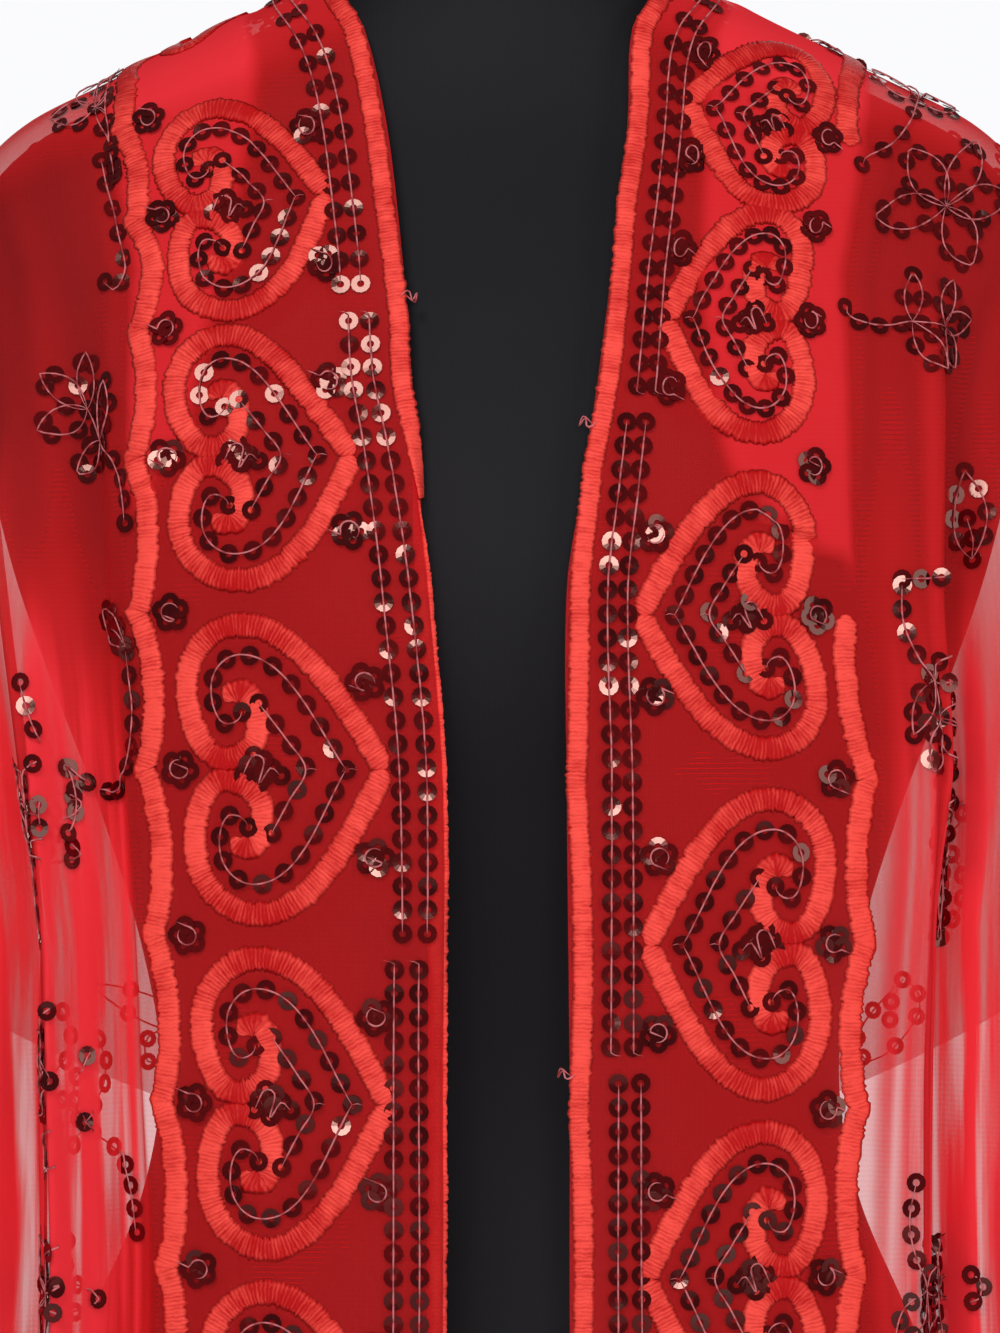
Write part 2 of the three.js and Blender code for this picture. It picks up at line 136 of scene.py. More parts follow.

# Soft ridges and troughs placed one by one: start and end in cloth width and height, then half width and
# rise
CREASES = {
    -1: table(
        "w z w_end z_end width rise",
        (112, 1315, 122, 1120, 5, 2.2), (150, 1290, 146, 1090, 7, 2.5), (180, 1262, 190, 1010, 6, -2.0),
        (166, 1190, 172, 1030, 4, 4.5), (205, 1240, 232, 960, 7, 3.0), (122, 1160, 114, 900, 4, 2.6),
        (146, 1060, 136, 780, 5, -2.2), (162, 1130, 166, 820, 4, 2.4), (96, 1010, 60, 880, 9, 1.2),
        (84, 900, 40, 760, 10, 1.2), (215, 1120, 224, 760, 4, 2.6), (270, 1130, 262, 860, 5, 2.8),
        (300, 1080, 310, 760, 5, -2.4), (350, 1020, 345, 640, 6, 2.6), (390, 960, 396, 520, 6, -2.4),
        (432, 900, 428, 470, 5, 2.4),
    ),
    1: table(
        "w z w_end z_end width rise",
        (116, 1310, 112, 1130, 5, 2.4), (141, 1245, 150, 1020, 4.5, 8.0), (152, 1190, 163, 980, 4, 4.0),
        (172, 1260, 182, 1030, 7, -2.2), (196, 1240, 220, 990, 6, 2.6), (124, 1090, 116, 860, 4, 2.6),
        (160, 1010, 152, 760, 5, -2.2), (178, 1120, 186, 800, 4, 3.0), (60, 985, 92, 900, 9, 1.2),
        (44, 860, 80, 740, 10, 1.2), (246, 1120, 240, 880, 5, -2.6), (270, 1130, 276, 840, 4, 2.8),
        (285, 1100, 292, 800, 5, 2.4), (330, 1030, 320, 700, 6, -2.4), (368, 980, 376, 560, 5, 2.6),
        (410, 930, 402, 500, 6, 2.4),
    ),
}

# Hearts of each front, by the height of their middle and their length beside the full one
HEARTS = {
    -1: table("z share", (1257.6, 0.77), (1170.9, 0.86), (1066.9, 1), (956.4, 1), (846, 1), (736, 1)),
    1: table("z share", (1288, 0.6), (1217, 0.8), (1118, 0.92), (1009, 1), (898.6, 1), (789, 1), (679, 1)),
}
BACK_HEARTS = (-108, 0, 95)

# Half a heart lying on its side, in millimetres: u from its tip outward across the border, v along it.
# The line passes through these turning points, where it runs level or upright, by quarter ellipses
HEART = {
    "flank": ((10, 17.5), (22, 48)),
    "turns": ((42, 48), (61.5, 26), (50.5, 3.4), (39, 15), (43.5, 26), (48.5, 22)),
}
VEIN = {
    "tip": 12,
    "flank": ((20, 13), (27, 38)),
    "turns": ((42.5, 38), (53, 25.5), (48.5, 15), (43.5, 19.5)),
}
CLEFT = {
    "vee": ((38, 22), (30, 10), (24.5, 0), (30, -10), (36, -21)),
    "bud": ((44.5, -2), (41, 4.5), (37.5, 3), (39.5, -5), (35.5, 0.5), (32.5, -2)),
}
TICK = 3.4

# Double rows of sequins: one repeat of the embroidery ends at these heights, and the next starts beside it
ROW_ENDS = {-1: (1222, 1007, 792), 1: (1188, 969.5, 751)}
TUFT = ((0, 2), (2, -0.8), (-1, -1.6), (1.6, -3), (-1.6, -2.2), (0.6, 0))
ROWS = {"near": 14.2, "far": 22.0, "gap": 6, "shift": 2.6}

# Sprigs on the body of the stole, hung where the photograph shows them:
# side, x and z of the foot, heading from upright in degrees, size, and which kind
SPRIGS = (
    (-1, -124, 1149, -27, 1.0, "branch"),
    (-1, -124, 1108, -62, 0.9, "leaf"),
    (-1, -124, 1106, 190, 1.5, "hook"),
    (-1, -121, 912, -28, 1.35, "branch"),
    (-1, -129, 1228, 2, 1.0, "stem"),
    (-1, -139, 1293, 20, 0.8, "flower"),
    (-1, -128, 1268, 60, 0.6, "leaf"),
    (-1, -150, 1040, 14, 1.0, "leaf"),
    (1, 104, 1272, 48, 1.0, "branch"),
    (1, 152, 1258, 20, 1.15, "flower"),
    (1, 100, 1222, 105, 0.9, "branch"),
    (1, 160, 1137, -12, 1.1, "leaf"),
    (1, 134, 1130, 84, 1.1, "row"),
    (1, 134, 1128, 168, 1.0, "branch"),
    (1, 148, 1010, 6, 1.0, "leaf"),
    (1, 138, 930, 176, 1.1, "branch"),
)
# Elsewhere they stand in a half drop: first place and step in cloth width and height, and the last width
DROPS = {"first": (170, 1010), "step": (90, 118), "edge": 425, "kinds": ("branch", "flower", "leaf")}


def length(name, text, value):
    """A length property in metres."""
    return FloatProperty(name=name, description=text, default=value, unit="LENGTH")


class StoleSizes(bpy.types.PropertyGroup):
    cut_length: length("Cut length", "Length of the flat stole", 1.7)
    cut_width: length("Cut width", "Width of the flat stole", 0.45)
    border_width: length("Border width", "Inner edge to scalloped line", 0.104)
    heart_tip: length("Heart tip", "Inner edge to the tip of a heart", 0.0265)
    satin_width: length("Satin line width", "Width of the satin lines", 0.0084)
    edging_width: length("Edging width", "Width of the satin edging", 0.007)
    satin_height: length("Satin height", "How far satin stitch stands proud", 0.0008)
    sequin_width: length("Sequin", "Width of a sequin", 0.0066)
    row_pitch: length("Row pitch", "One sequin of a double row to the next", 0.0078)
    motif_pitch: length("Motif pitch", "One sequin to the next in hearts and sprigs", 0.0076)
    thread_width: length("Thread width", "Thickness of the sewing thread", 0.00065)
    seed: IntProperty(name="Seed", description="Order of the small irregularities", default=11)


def linear(value):
    """sRGB hex to linear RGBA: a channel is divided by 12.92 near black, and follows the 2.4 power above."""
    parts = [int(value[i : i + 2], 16) / 255 for i in (1, 3, 5)]
    return tuple(c / 12.92 if c <= 0.04045 else ((c + 0.055) / 1.055) ** 2.4 for c in parts) + (1.0,)


def colour(name, text, value):
    """A colour property from an sRGB hex value."""
    return FloatVectorProperty(
        name=name, description=text, subtype="COLOR", size=3, min=0, max=1, default=linear(value)[:3]
    )


class StoleColours(bpy.types.PropertyGroup):
    tulle: colour("Tulle", "Red polyester net", "#d62426")
    # A brighter copy of the net's red: painted light for packed net, where light passes on from layer to
    # layer
    tulle_packed_painted_light: colour("Tulle, packed", "The same net in many layers", "#ef333c")
    # Lit and shaded copies of the satin thread: a painted sheen where it runs across the light, a painted
    # shade where it runs with the light
    satin: colour("Satin stitch, lit", "Rayon thread that runs across the light", "#ff5147")
    satin_painted_shade: colour("Satin stitch, deep", "Rayon thread that runs with the light", "#bd0f14")
    sequin: colour("Sequins", "Dark red film", "#5c0409")
    thread: colour("Sequin thread", "Pinkish thread through the sequins", "#d67478")
    jersey: colour("Form cover", "Black stretch jersey", "#17151a")
    steel: colour("Stand", "Black powder coat", "#141416")
    floor: colour("Floor", "Pale studio floor", "#f2f2f4")


def sizes():
    return bpy.context.scene.stole_sizes


def mm(name):
    """A length property in millimetres."""
    return getattr(sizes(), name) / MM


def tint(name):
    return (*getattr(bpy.context.scene.stole_colours, name), 1.0)


def ease(t):
    """Soft step: three t squared less two t cubed, held to 0 and 1 outside."""
    t = np.clip(t, 0, 1)
    return t * t * (3 - 2 * t)


def circle(sides):
    """Cosines and sines of equal turns round a circle."""
    turn = np.arange(sides) * 2 * np.pi / sides
    return np.cos(turn), np.sin(turn)


def unit(vectors):
    return vectors / np.maximum(np.linalg.norm(vectors, axis=-1, keepdims=True), 1e-12)


def read(rows, name, z):
    """One column at heights z: a cubic between two rows, with slopes taken from the rows either side."""
    heights, values = rows["z"], rows[name]
    last = len(heights) - 1
    above = np.maximum(np.arange(last + 1) - 1, 0)
    below = np.minimum(np.arange(last + 1) + 1, last)
    slopes = (values[below] - values[above]) / (heights[below] - heights[above])
    z = np.clip(z, heights[-1], heights[0])
    i = np.clip(np.searchsorted(-heights, -z, side="right") - 1, 0, last - 1)
    run = heights[i + 1] - heights[i]
    t = (z - heights[i]) / run
    start = (2 * t**3 - 3 * t**2 + 1) * values[i] + (t**3 - 2 * t**2 + t) * run * slopes[i]
    return start + (3 * t**2 - 2 * t**3) * values[i + 1] + (t**3 - t**2) * run * slopes[i + 1]


def length_down(top, name):
    """Heights at every millimetre and the length down the cloth to each: the sum of the slant steps."""
    z = np.arange(top, FORM_FOOT - 1, -1.0)
    steps = np.diff(read(CLOTH_SECTIONS, name, z))
    return z, np.concatenate([[0], np.cumsum(np.hypot(steps, 1))])


SIDE_Z, SIDE_REACH = length_down(SHOULDER_TOP, "half")
SPINE_Z, SPINE_REACH = length_down(NAPE_TOP, "back")


def crossing(front, w):
    """Height at which the line w from the inner edge crosses the shoulder or side."""
    border, band = mm("border_width"), front["edges"]["band"][0]
    reach = np.where(w < border, w * band / border, band + w - border)
    return np.interp(reach, SIDE_REACH, SIDE_Z)


def cloth_at_side(front, z):
    """How far across the cloth the shoulder or side is at height z."""
    border, band = mm("border_width"), front["edges"]["band"][0]
    reach = np.interp(-z, -SIDE_Z, SIDE_REACH)
    w = np.where(reach < band, reach * border / band, border + reach - band)
    return np.minimum(w, mm("cut_width"))


def fold_rise(front, w):
    """Rise of the gathers: half a cosine wave from each row of the table to the next."""
    at, rise = front["folds"]["w"], front["folds"]["rise"]
    i = np.clip(np.searchsorted(at, w, side="right") - 1, 0, len(at) - 2)
    t = np.clip((w - at[i]) / (at[i + 1] - at[i]), 0, 1)
    return rise[i] + (rise[i + 1] - rise[i]) * (1 - np.cos(np.pi * t)) / 2


def risen(front, half, depth, angle, rise, z):
    """Point at an angle on a level ellipse, moved out along the ellipse's normal by a rise."""
    nx, ny = np.cos(angle) / half, np.sin(angle) / depth
    scale = rise / np.hypot(nx, ny)
    x = front["sign"] * (half * np.cos(angle) + scale * nx)
    return np.stack([x, depth * np.sin(angle) + scale * ny, z], -1)


def front_cloth(front, w, z):
    """Point w across the front cloth at height z, in millimetres.

    The section is an ellipse. The border lies flat on it from the inner edge, and the rest of the cloth
    shares the arc that is left up to the side. What doesn't fit rises in gathers along the normal: for a
    cloth length c in a room r, by the root of 1 less (r over c) squared, and they run out at the shoulder.
    A rolled edge turns under on a small circle, and over a tuck the cloth stands higher.
    """
    w, z = np.broadcast_arrays(np.asarray(w, float), np.asarray(z, float))
    border = mm("border_width")
    half, depth = read(CLOTH_SECTIONS, "half", z), read(CLOTH_SECTIONS, "front", z)
    inner = np.minimum(read(front["edges"], "inner", z), half)
    band, roll = read(front["edges"], "band", z), np.clip(read(front["edges"], "roll", z), 0, 1)
    start = np.arccos(inner / half)
    end = -WRAP["length"] * ease((WRAP["from"] - z) / (WRAP["from"] - WRAP["to"])) / depth
    step = (end - start) / ARC_STEPS
    middle = start[..., None] + step[..., None] * (np.arange(ARC_STEPS) + 0.5)
    slant = np.hypot(half[..., None] * np.sin(middle), depth[..., None] * np.cos(middle))
    pieces = slant * np.abs(step)[..., None]
    run = np.cumsum(pieces, axis=-1)
    across = np.maximum(run[..., -1], 1e-3)
    side = cloth_at_side(front, z)
    spread = np.where(side < border, side * band / border, band + side - border)
    stretch = np.maximum(across / np.maximum(spread, 1e-3), 1)
    radius, rolled = ROLLED["radius"], ROLLED["cloth"] * roll
    turned = np.maximum(rolled - w, 0) / radius
    edge = radius * np.sin(np.minimum(rolled / radius, np.pi / 2))
    flat = edge + (w - rolled) * (band - edge) / (border - rolled)
    d = np.where(w < rolled, edge - radius * np.sin(turned), flat) * stretch
    under = -radius * (1 - np.cos(turned))
    outside = (w > border) & (side > border)
    cloth = np.maximum(side - border, 1e-3)
    room = across - band * stretch
    d = np.where(outside, band * stretch + (w - border) * room / cloth, d)
    gather = np.where(outside, np.sqrt(np.clip(1 - (room / cloth) ** 2, 0, 1)), 0)
    d = np.minimum(d, across)
    i = np.minimum((run < d[..., None]).sum(-1), ARC_STEPS - 1)
    length = np.take_along_axis(pieces, i[..., None], -1)[..., 0]
    before = np.take_along_axis(run, i[..., None], -1)[..., 0] - length
    angle = start + step * (i + (d - before) / np.maximum(length, 1e-9))
    rise = fold_rise(front, w) * gather * ease((crossing(front, w) - z) / FOLD_RUN) + under
    rise = rise + creases(front, w, z) + TUCK["height"] * tucked(front, w, z) + puckers(w, z)
    rise = rise + BUNCH["height"] * gathers(front, w, z)
    return risen(front, half, -depth, angle, rise, z)


def creases(front, w, z):
    """Soft ridges and troughs: each is a bell curve across its line that fades at both ends."""
    total = np.zeros(w.shape)
    for w0, z0, w1, z1, width, rise in zip(*CREASES[front["sign"]].values()):
        t = (z0 - z) / (z0 - z1)
        off = (w - w0 - (w1 - w0) * t) / width
        total += rise * np.exp(-(off**2)) * ease(t * 4) * ease((1 - t) * 4)
    return total


def tucked(front, w, z):
    """1 where the border is tucked: a soft step up from the inner fold and down past the scalloped line."""
    begin = read(front["edges"], "tuck", z)
    return ease((w - begin) / TUCK["bend"]) * ease((TUCK["end"] - w) / TUCK["drop"])


def bunched(w, z):
    """How far the cloth is bunched: a soft step out from the border and down from the chest."""
    return ease((w - BUNCH["from"]) / BUNCH["across"]) * ease((BUNCH["top"] - z) / BUNCH["down"])


def gathers(front, w, z):
    """Fine upright gathers beside the body: two sine waves across the cloth that wander a little down it."""
    fade = bunched(w, z)
    drift = w + 7 * np.sin(z / 150 + front["sign"]) + 3 * np.sin(z / 67 + w / 90)
    return fade * (0.6 * np.sin(drift / 2.7) + 0.4 * np.sin(drift / 4.9 + 1))


def puckers(w, z):
    """The thread draws the cloth in beside both satin lines: small waves that fade across."""
    beside_edge = 0.3 * np.sin(z / 1.9 + 0.7 * np.sin(z / 13)) * np.exp(-(((w - 4) / 8) ** 2))
    beside_line = 0.4 * np.sin(z / 2.6 + np.sin(z / 17)) * np.exp(-(((w - 104) / 9) ** 2))
    return beside_edge + beside_line


def back_cloth(front, w, turn):
    """Point on the back, w from the inner edge, turn going from 0 at the side to 1 at the spine.

    The height eases from the side's to the spine's, the plan is an ellipse at that height, and soft
    folds rise from it towards the hem.
    """
    w, turn = np.broadcast_arrays(np.asarray(w, float), np.asarray(turn, float))
    side, spine = crossing(front, w), np.interp(w, SPINE_REACH, SPINE_Z)
    z = side + (spine - side) * ease(turn)
    angle = turn * math.pi / 2
    start = BACK_FOLDS["from"]
    rise = BACK_FOLDS["rise"] * ease((w - start) / (mm("cut_width") - start))
    rise = rise * np.sin(angle) * (1 - np.cos(BACK_FOLDS["count"] * angle)) / 2
    rise = rise + back_creases(front, w, turn)
    half, depth = read(CLOTH_SECTIONS, "half", z), read(CLOTH_SECTIONS, "back", z)
    return risen(front, half, depth, angle, rise, z)


def back_creases(front, w, turn):
    """Slack swags below the nape: rounded ridges along the width, fading to the side and to the edges."""
    fade = ease(turn * 3) * ease((w - 60) / 60)
    slant = 1.6 * np.sin(w / 23 + 3.1 * turn * front["sign"]) * ease((260 - w) / 120)
    return fade * (slant + 1.2 * np.sin(17 * turn + w / 90))


def half_run(front):
    """Length of the border's middle line from the spine to the shoulder line."""
    return lengths_along(back_cloth(front, MIDDLE_OF_BORDER, np.linspace(1, 0, 33)))[-1]


def level(front, run, w):
    """Height on the front for a length run past the shoulder: lines across the border soon hang level."""
    top, middle = crossing(front, w), crossing(front, np.float64(MIDDLE_OF_BORDER))
    return top + (middle - top) * ease(run / LEVEL_RUN) - run


def on_halves(g, w, place):
    """Points on both halves: place gives those of one front, from their distance to the spine and w."""
    g, w = np.broadcast_arrays(np.asarray(g, float), np.asarray(w, float))
    points = np.zeros(g.shape + (3,))
    for front in (LEFT, RIGHT):
        mine = g * front["sign"] >= 0
        points[mine] = place(front, np.abs(g[mine]), w[mine])
    return points


def on_stole(g, w):
    """Point of the whole border: g along it from the spine, negative to the left, and w across."""

    def place(front, reach, w):
        run = reach - front["run"]
        back = back_cloth(front, w, np.clip(-run / front["run"], 0, 1))
        ahead = front_cloth(front, w, level(front, np.maximum(run, 0), w))
        return np.where((run < 0)[:, None], back, ahead)

    return on_halves(g, w, place)


def on_left(z, w):
    return front_cloth(LEFT, w, z)


def on_right(z, w):
    return front_cloth(RIGHT, w, z)


def on_back(g, w):
    """Point of the back's body: g from the spine to the side, negative to the left."""

    def place(front, reach, w):
        return back_cloth(front, w, np.clip(1 - reach / front["run"], 0, 1))

    return on_halves(g, w, place)


def along(front, z):
    """The border's length coordinate of a height on the front."""
    return front["sign"] * (front["run"] + crossing(front, np.float64(MIDDLE_OF_BORDER)) - z)


def across_at(front, x, z):
    """How far across the cloth a point lies that hangs at x and z on the front."""
    w = np.linspace(mm("border_width"), cloth_at_side(front, z) - 4, 300)
    hangs = front_cloth(front, w, np.full(w.shape, float(z)))[:, 0] * front["sign"]
    return float(np.interp(abs(x), np.maximum.accumulate(hangs), w))


def laid(line, lift=0.0, nudge=0.4):
    """Points of a line laid on its surface, with the outward normal at each."""
    surface, path = line
    g, w = path[:, 0], path[:, 1]
    points = surface(g, w)
    along_cloth = surface(g + nudge, w) - surface(g - nudge, w)
    across_cloth = surface(g, w + nudge) - surface(g, w - nudge)
    normals = np.cross(across_cloth, along_cloth)
    outward = points * (1, 1, 0)
    outward[:, 2] = 40
    normals = unit(normals * np.sign((normals * outward).sum(1))[:, None])
    return points + normals * lift, normals


def make_piece(name, points, faces, finish, uv=None, smooth=True, levels=None):
    """One object from points in millimetres and index arrays, one for each number of corners.

    uv is a place on the cloth in metres and levels holds named numbers, both one for each point.
    """
    mesh = bpy.data.meshes.new(name)
    mesh.vertices.add(len(points))
    mesh.vertices.foreach_set("co", (points * MM + AXIS).ravel())
    corners = np.concatenate([f.ravel() for f in faces])
    sides = np.concatenate([np.full(len(f), f.shape[1]) for f in faces])
    mesh.loops.add(len(corners))
    mesh.loops.foreach_set("vertex_index", corners)
    mesh.polygons.add(len(sides))
    mesh.polygons.foreach_set("loop_start", np.cumsum(sides) - sides)
    mesh.polygons.foreach_set("use_smooth", np.full(len(sides), smooth))
    if uv is not None:
        mesh.uv_layers.new(name="cloth").data.foreach_set("uv", uv[corners].ravel())
    for key, values in (levels or {}).items():
        mesh.attributes.new(key, "FLOAT", "POINT").data.foreach_set("value", values)
    mesh.update(calc_edges=True)
    mesh.validate()
    mesh.materials.append(material(finish))
    obj = bpy.data.objects.new(name, mesh)
    bpy.context.collection.objects.link(obj)
    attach(obj, "root")
    return obj


def grid_faces(rows, columns, ring=False, start=0):
    """Corner indices of a grid of points, row by row; a ring joins the last column to the first."""
    i, j = np.meshgrid(np.arange(rows - 1), np.arange(columns if ring else columns - 1), indexing="ij")
    k = (j + 1) % columns
    quads = np.stack([i * columns + j, i * columns + k, (i + 1) * columns + k, (i + 1) * columns + j], -1)
    return quads.reshape(-1, 4) + start


def lengths_along(points):
    return np.concatenate([[0], np.cumsum(np.linalg.norm(np.diff(points, axis=0), axis=1))])


def swept(centre, normals, section, left, right):
    """A closed section carried along a line: left and right scale its two sides, the lesser its height."""
    tangents = unit(np.gradient(centre, axis=0))
    sideways = unit(np.cross(normals, tangents))
    x, y = section[:, 0], section[:, 1]
    across = np.where(x > 0, x * left[:, None], x * right[:, None])
    up = y * np.minimum(np.minimum(left, right)[:, None] * 1.6, 1)
    return centre[:, None] + sideways[:, None] * across[..., None] + normals[:, None] * up[..., None]


def sweep_all(name, lines, section, finish, rng, ragged=0.0, lift=0.0):
    """Many swept lines as one object, each narrowing at both ends.

    UV is the length along the line and the way round it, in metres. A level of the points is a painted
    sheen:
    how nearly upright the line runs, with a slow wander along it, because threads laid across an upright
    line meet the light from above.
    """
    points, quads, caps, uvs, painted_sheen = [], [], [], [], []
    start, sides = 0, len(section)
    around = lengths_along(section) * MM
    for line in lines:
        count = len(line[1])
        centre, normals = laid(line, lift)
        fade = np.minimum(np.arange(count), np.arange(count)[::-1])
        close = np.clip(0.25 + fade / 4, 0, 1)
        left, right = ((1 + rng.normal(0, ragged, count)) * close for side in range(2))
        points.append(swept(centre, normals, section, left, right).reshape(-1, 3))
        length = lengths_along(centre) * MM
        uvs.append(np.stack(np.broadcast_arrays(length[:, None], around[None, :]), -1).reshape(-1, 2))
        # Painted sheen: upright stretches of the line, and a slow wander along it, are made lighter in
        # colour
        upright = np.abs(unit(np.gradient(centre, axis=0))[:, 2]) ** 2
        wander = 0.5 + 0.25 * np.sin(length / MM / 9 + start) + 0.25 * np.sin(length / MM / 4.3 + 2 * start)
        painted_sheen.append(np.repeat(np.clip(0.8 * upright + 0.3 * wander - 0.08, 0, 1), sides))
        quads.append(grid_faces(count, sides, ring=True, start=start))
        last = start + (count - 1) * sides
        caps.append(np.stack([start + np.arange(sides)[::-1], last + np.arange(sides)]))
        start += count * sides
    faces = [np.concatenate(quads), np.concatenate(caps)]
    levels = {"painted_sheen": np.concatenate(painted_sheen)}
    return make_piece(name, np.concatenate(points), faces, finish, np.concatenate(uvs), levels=levels)


def resample(path, step):
    """A polyline cut into equal steps of about the length asked for."""
    lengths = lengths_along(path)
    at = np.linspace(0, lengths[-1], max(int(lengths[-1] / step), 2) + 1)
    return np.stack([np.interp(at, lengths, path[:, k]) for k in range(2)], -1)


def pitched(lines, pitch):
    return [(surface, resample(path, pitch)) for surface, path in lines]


def rounded(corners, count=16):
    """A smooth line through corners: each stretch is a cubic with slopes from the corners either side."""
    p = np.array(corners, float)
    p = np.vstack([2 * p[0] - p[1], p, 2 * p[-1] - p[-2]])
    t = np.linspace(0, 1, count, endpoint=False)[:, None]
    parts = [
        0.5 * (2 * b + (c - a) * t + (2 * a - 5 * b + 4 * c - d) * t**2 + (3 * b - a - 3 * c + d) * t**3)
        for a, b, c, d in zip(p, p[1:], p[2:], p[3:])
    ]
    return np.vstack([*parts, p[-2:-1]])


def half_heart(shape, tip=0.0):
    """A cubic curve climbs from the tip to the first turn, then quarter ellipses join turn to turn."""
    start, first = np.array([tip, 0.0]), np.array(shape["turns"][0], float)
    c1, c2 = np.array(shape["flank"], float)
    t = np.linspace(0, 1, 40, endpoint=False)[:, None]
    parts = [(1 - t) ** 3 * start + 3 * (1 - t) ** 2 * t * c1 + 3 * (1 - t) * t**2 * c2 + t**3 * first]
    angle = np.linspace(0, np.pi / 2, 18, endpoint=False)
    for number, (a, b) in enumerate(zip(shape["turns"], shape["turns"][1:])):
        if number % 2 == 0:
            u = a[0] + (b[0] - a[0]) * np.sin(angle)
            v = b[1] + (a[1] - b[1]) * np.cos(angle)
        else:
            u = b[0] + (a[0] - b[0]) * np.cos(angle)
            v = a[1] + (b[1] - a[1]) * np.sin(angle)
        parts.append(np.stack([u, v], -1))
    return np.vstack(parts)


def mirrored(half):
    return half * (1, -1)


def heart_places():
    """Where each heart lies: its middle along the border and its length beside the full one."""
    places = []
    for front in (LEFT, RIGHT):
        rows = HEARTS[front["sign"]]
        places += [(along(front, z), share) for z, share in zip(rows["z"], rows["share"])]
    return places + [(g, 0.8) for g in BACK_HEARTS]


def at_heart(motif, place):
    """A motif laid at a heart: u across the border from the tips' line, v along it by the heart's share."""
    g, share = place
    return on_stole, np.stack([g - motif[:, 1] * share * np.sign(g or 1), mm("heart_tip") + motif[:, 0]], -1)


def between_hearts(front):
    """Heights half way from each heart to the next."""
    z = HEARTS[front["sign"]]["z"]
    return (z[1:] + z[:-1]) / 2


def cusp_places(front):
    """Cusps of the scalloped line: at each heart and half way to the next, from the shoulder to the end."""
    z = HEARTS[front["sign"]]["z"]
    stops = np.sort(np.concatenate([z, between_hearts(front), [z[-1] - 55, z[0] + 40]]))[::-1]
    return np.array([along(front, v) for v in stops if v > front["hem"] + 4])


def scalloped(stops, base, depth, sharp=0.75):
    """A line through stops along the stole that bows inward between each two, by a power of a sine."""
    parts = []
    for a, b in zip(stops, stops[1:]):
        t = np.linspace(0, 1, max(int(abs(b - a) / 0.6), 8), endpoint=False)
        parts.append(np.stack([a + (b - a) * t, base - depth * np.sin(np.pi * t) ** sharp], -1))
    return np.vstack([*parts, [[stops[-1], base]]])


def satin_section(width, height):
    """A flat-bottomed dome, as high as the root of one less the share across squared."""
    across = np.linspace(1, -1, 7)
    up = np.sqrt(np.clip(1 - across**2, 0, 1)) * height
    return np.stack([across * width / 2, up], -1)


def rosette(centre, turned_by):
    """Places of six sequins: one and a ring of five round it that overlap."""
    turn = np.arange(5) * 2 * np.pi / 5 + turned_by
    ring = np.stack([np.cos(turn), np.sin(turn)], -1) * mm("sequin_width") * 0.52
    return np.vstack([[0, 0], ring]) + centre


def loop(base, heading, length, width):
    """A pointed leaf outline: out along one side and back on the other, the width by a sine of the way."""
    t = np.concatenate([np.linspace(0, 1, 14), np.linspace(1, 0, 14)[1:]])
    side = np.concatenate([np.ones(14), -np.ones(13)]) * np.sin(np.pi * t) ** 0.85 * width / 2
    ahead = np.array([np.sin(heading), np.cos(heading)])
    return np.array(base, float) + np.outer(t * length, ahead) + np.outer(side, (ahead[1], -ahead[0]))


def flower(centre, heading, size, petals=4):
    """Petals fanned over the top of a centre."""
    ways = heading + (np.arange(petals) - (petals - 1) / 2) * 1.05
    return [loop(centre, way, 23 * size, 11 * size) for way in ways]


def sprig(kind, size):
    """Lines of one sprig, upright from its foot: x across and y up, in millimetres."""
    if kind == "flower":
        return flower((0, 0), 0, size, 5)
    if kind == "leaf":
        return [loop((0, 0), 0, 28 * size, 11 * size), rounded([(0, 0), (1, 6), (0, 13)]) * size]
    if kind == "row":
        return [rounded([(0, 0), (1, 14), (0, 29)]) * size]
    if kind == "stem":
        return [rounded([(-5, 3), (-1, 0), (2, 8), (1, 26), (-1, 46)]) * size]
    if kind == "hook":
        return [rounded([(0, 0), (-4, 14), (0, 27), (12, 34), (27, 27), (34, 13)]) * size]
    stem = rounded([(0, 0), (3, 12), (1, 24), (-3, 33), (-5, 46)]) * size
    fork = stem[-17]
    lines = [stem, loop(fork, 0.75, 21 * size, 8 * size), loop(fork, -1.75, 19 * size, 8 * size)]
    return lines + flower(stem[-1], -0.45, size * 0.85, 3)


def turned(line, heading):
    """A line turned clockwise from upright by a heading in radians."""
    cos, sin = math.cos(heading), math.sin(heading)
    return line @ np.array([[cos, -sin], [sin, cos]])


def sprig_lines():
    """Every sprig's lines, laid on the left front, the right front or the back."""
    lines = []
    for side, x, z, heading, size, kind in SPRIGS:
        front, surface = (LEFT, on_left) if side < 0 else (RIGHT, on_right)
        w = across_at(front, x, z)
        for line in sprig(kind, size):
            placed = turned(line, math.radians(heading))
            path = np.stack([z + placed[:, 1], w + front["sign"] * placed[:, 0]], -1)
            lines.append((surface, path))
    w_step, z_step = DROPS["step"]
    kinds = DROPS["kinds"]
    for front, surface in ((LEFT, on_left), (RIGHT, on_right)):
        for column, w in enumerate(np.arange(DROPS["first"][0], DROPS["edge"], w_step)):
            top = min(DROPS["first"][1], crossing(front, w) - 70) - (column % 2) * z_step / 2
            for row, z in enumerate(np.arange(top, hem_at(front, w) + 12, -z_step)):
                for line in sprig(kinds[(column + row) % 3], 0.95):
                    placed = turned(line, 0.5 * math.sin(3 * column + 2 * row))
                    lines.append((surface, np.stack([z + placed[:, 1], w + placed[:, 0]], -1)))
    for column, w in enumerate(np.arange(150, DROPS["edge"], w_step)):
        for row, g in enumerate(np.arange(-190 + (column % 2) * 50, 200, 100)):
            for line in sprig(kinds[(column + row) % 3], 0.95):
                placed = turned(line, math.pi + 0.5 * math.sin(3 * column + 2 * row))
                lines.append((on_back, np.stack([g + placed[:, 0], w - placed[:, 1]], -1)))
    inside, edge = mm("border_width") + 4, mm("cut_width") - 6
    for _, path in lines:
        path[:, 1] = np.clip(path[:, 1], inside, edge)
    return lines


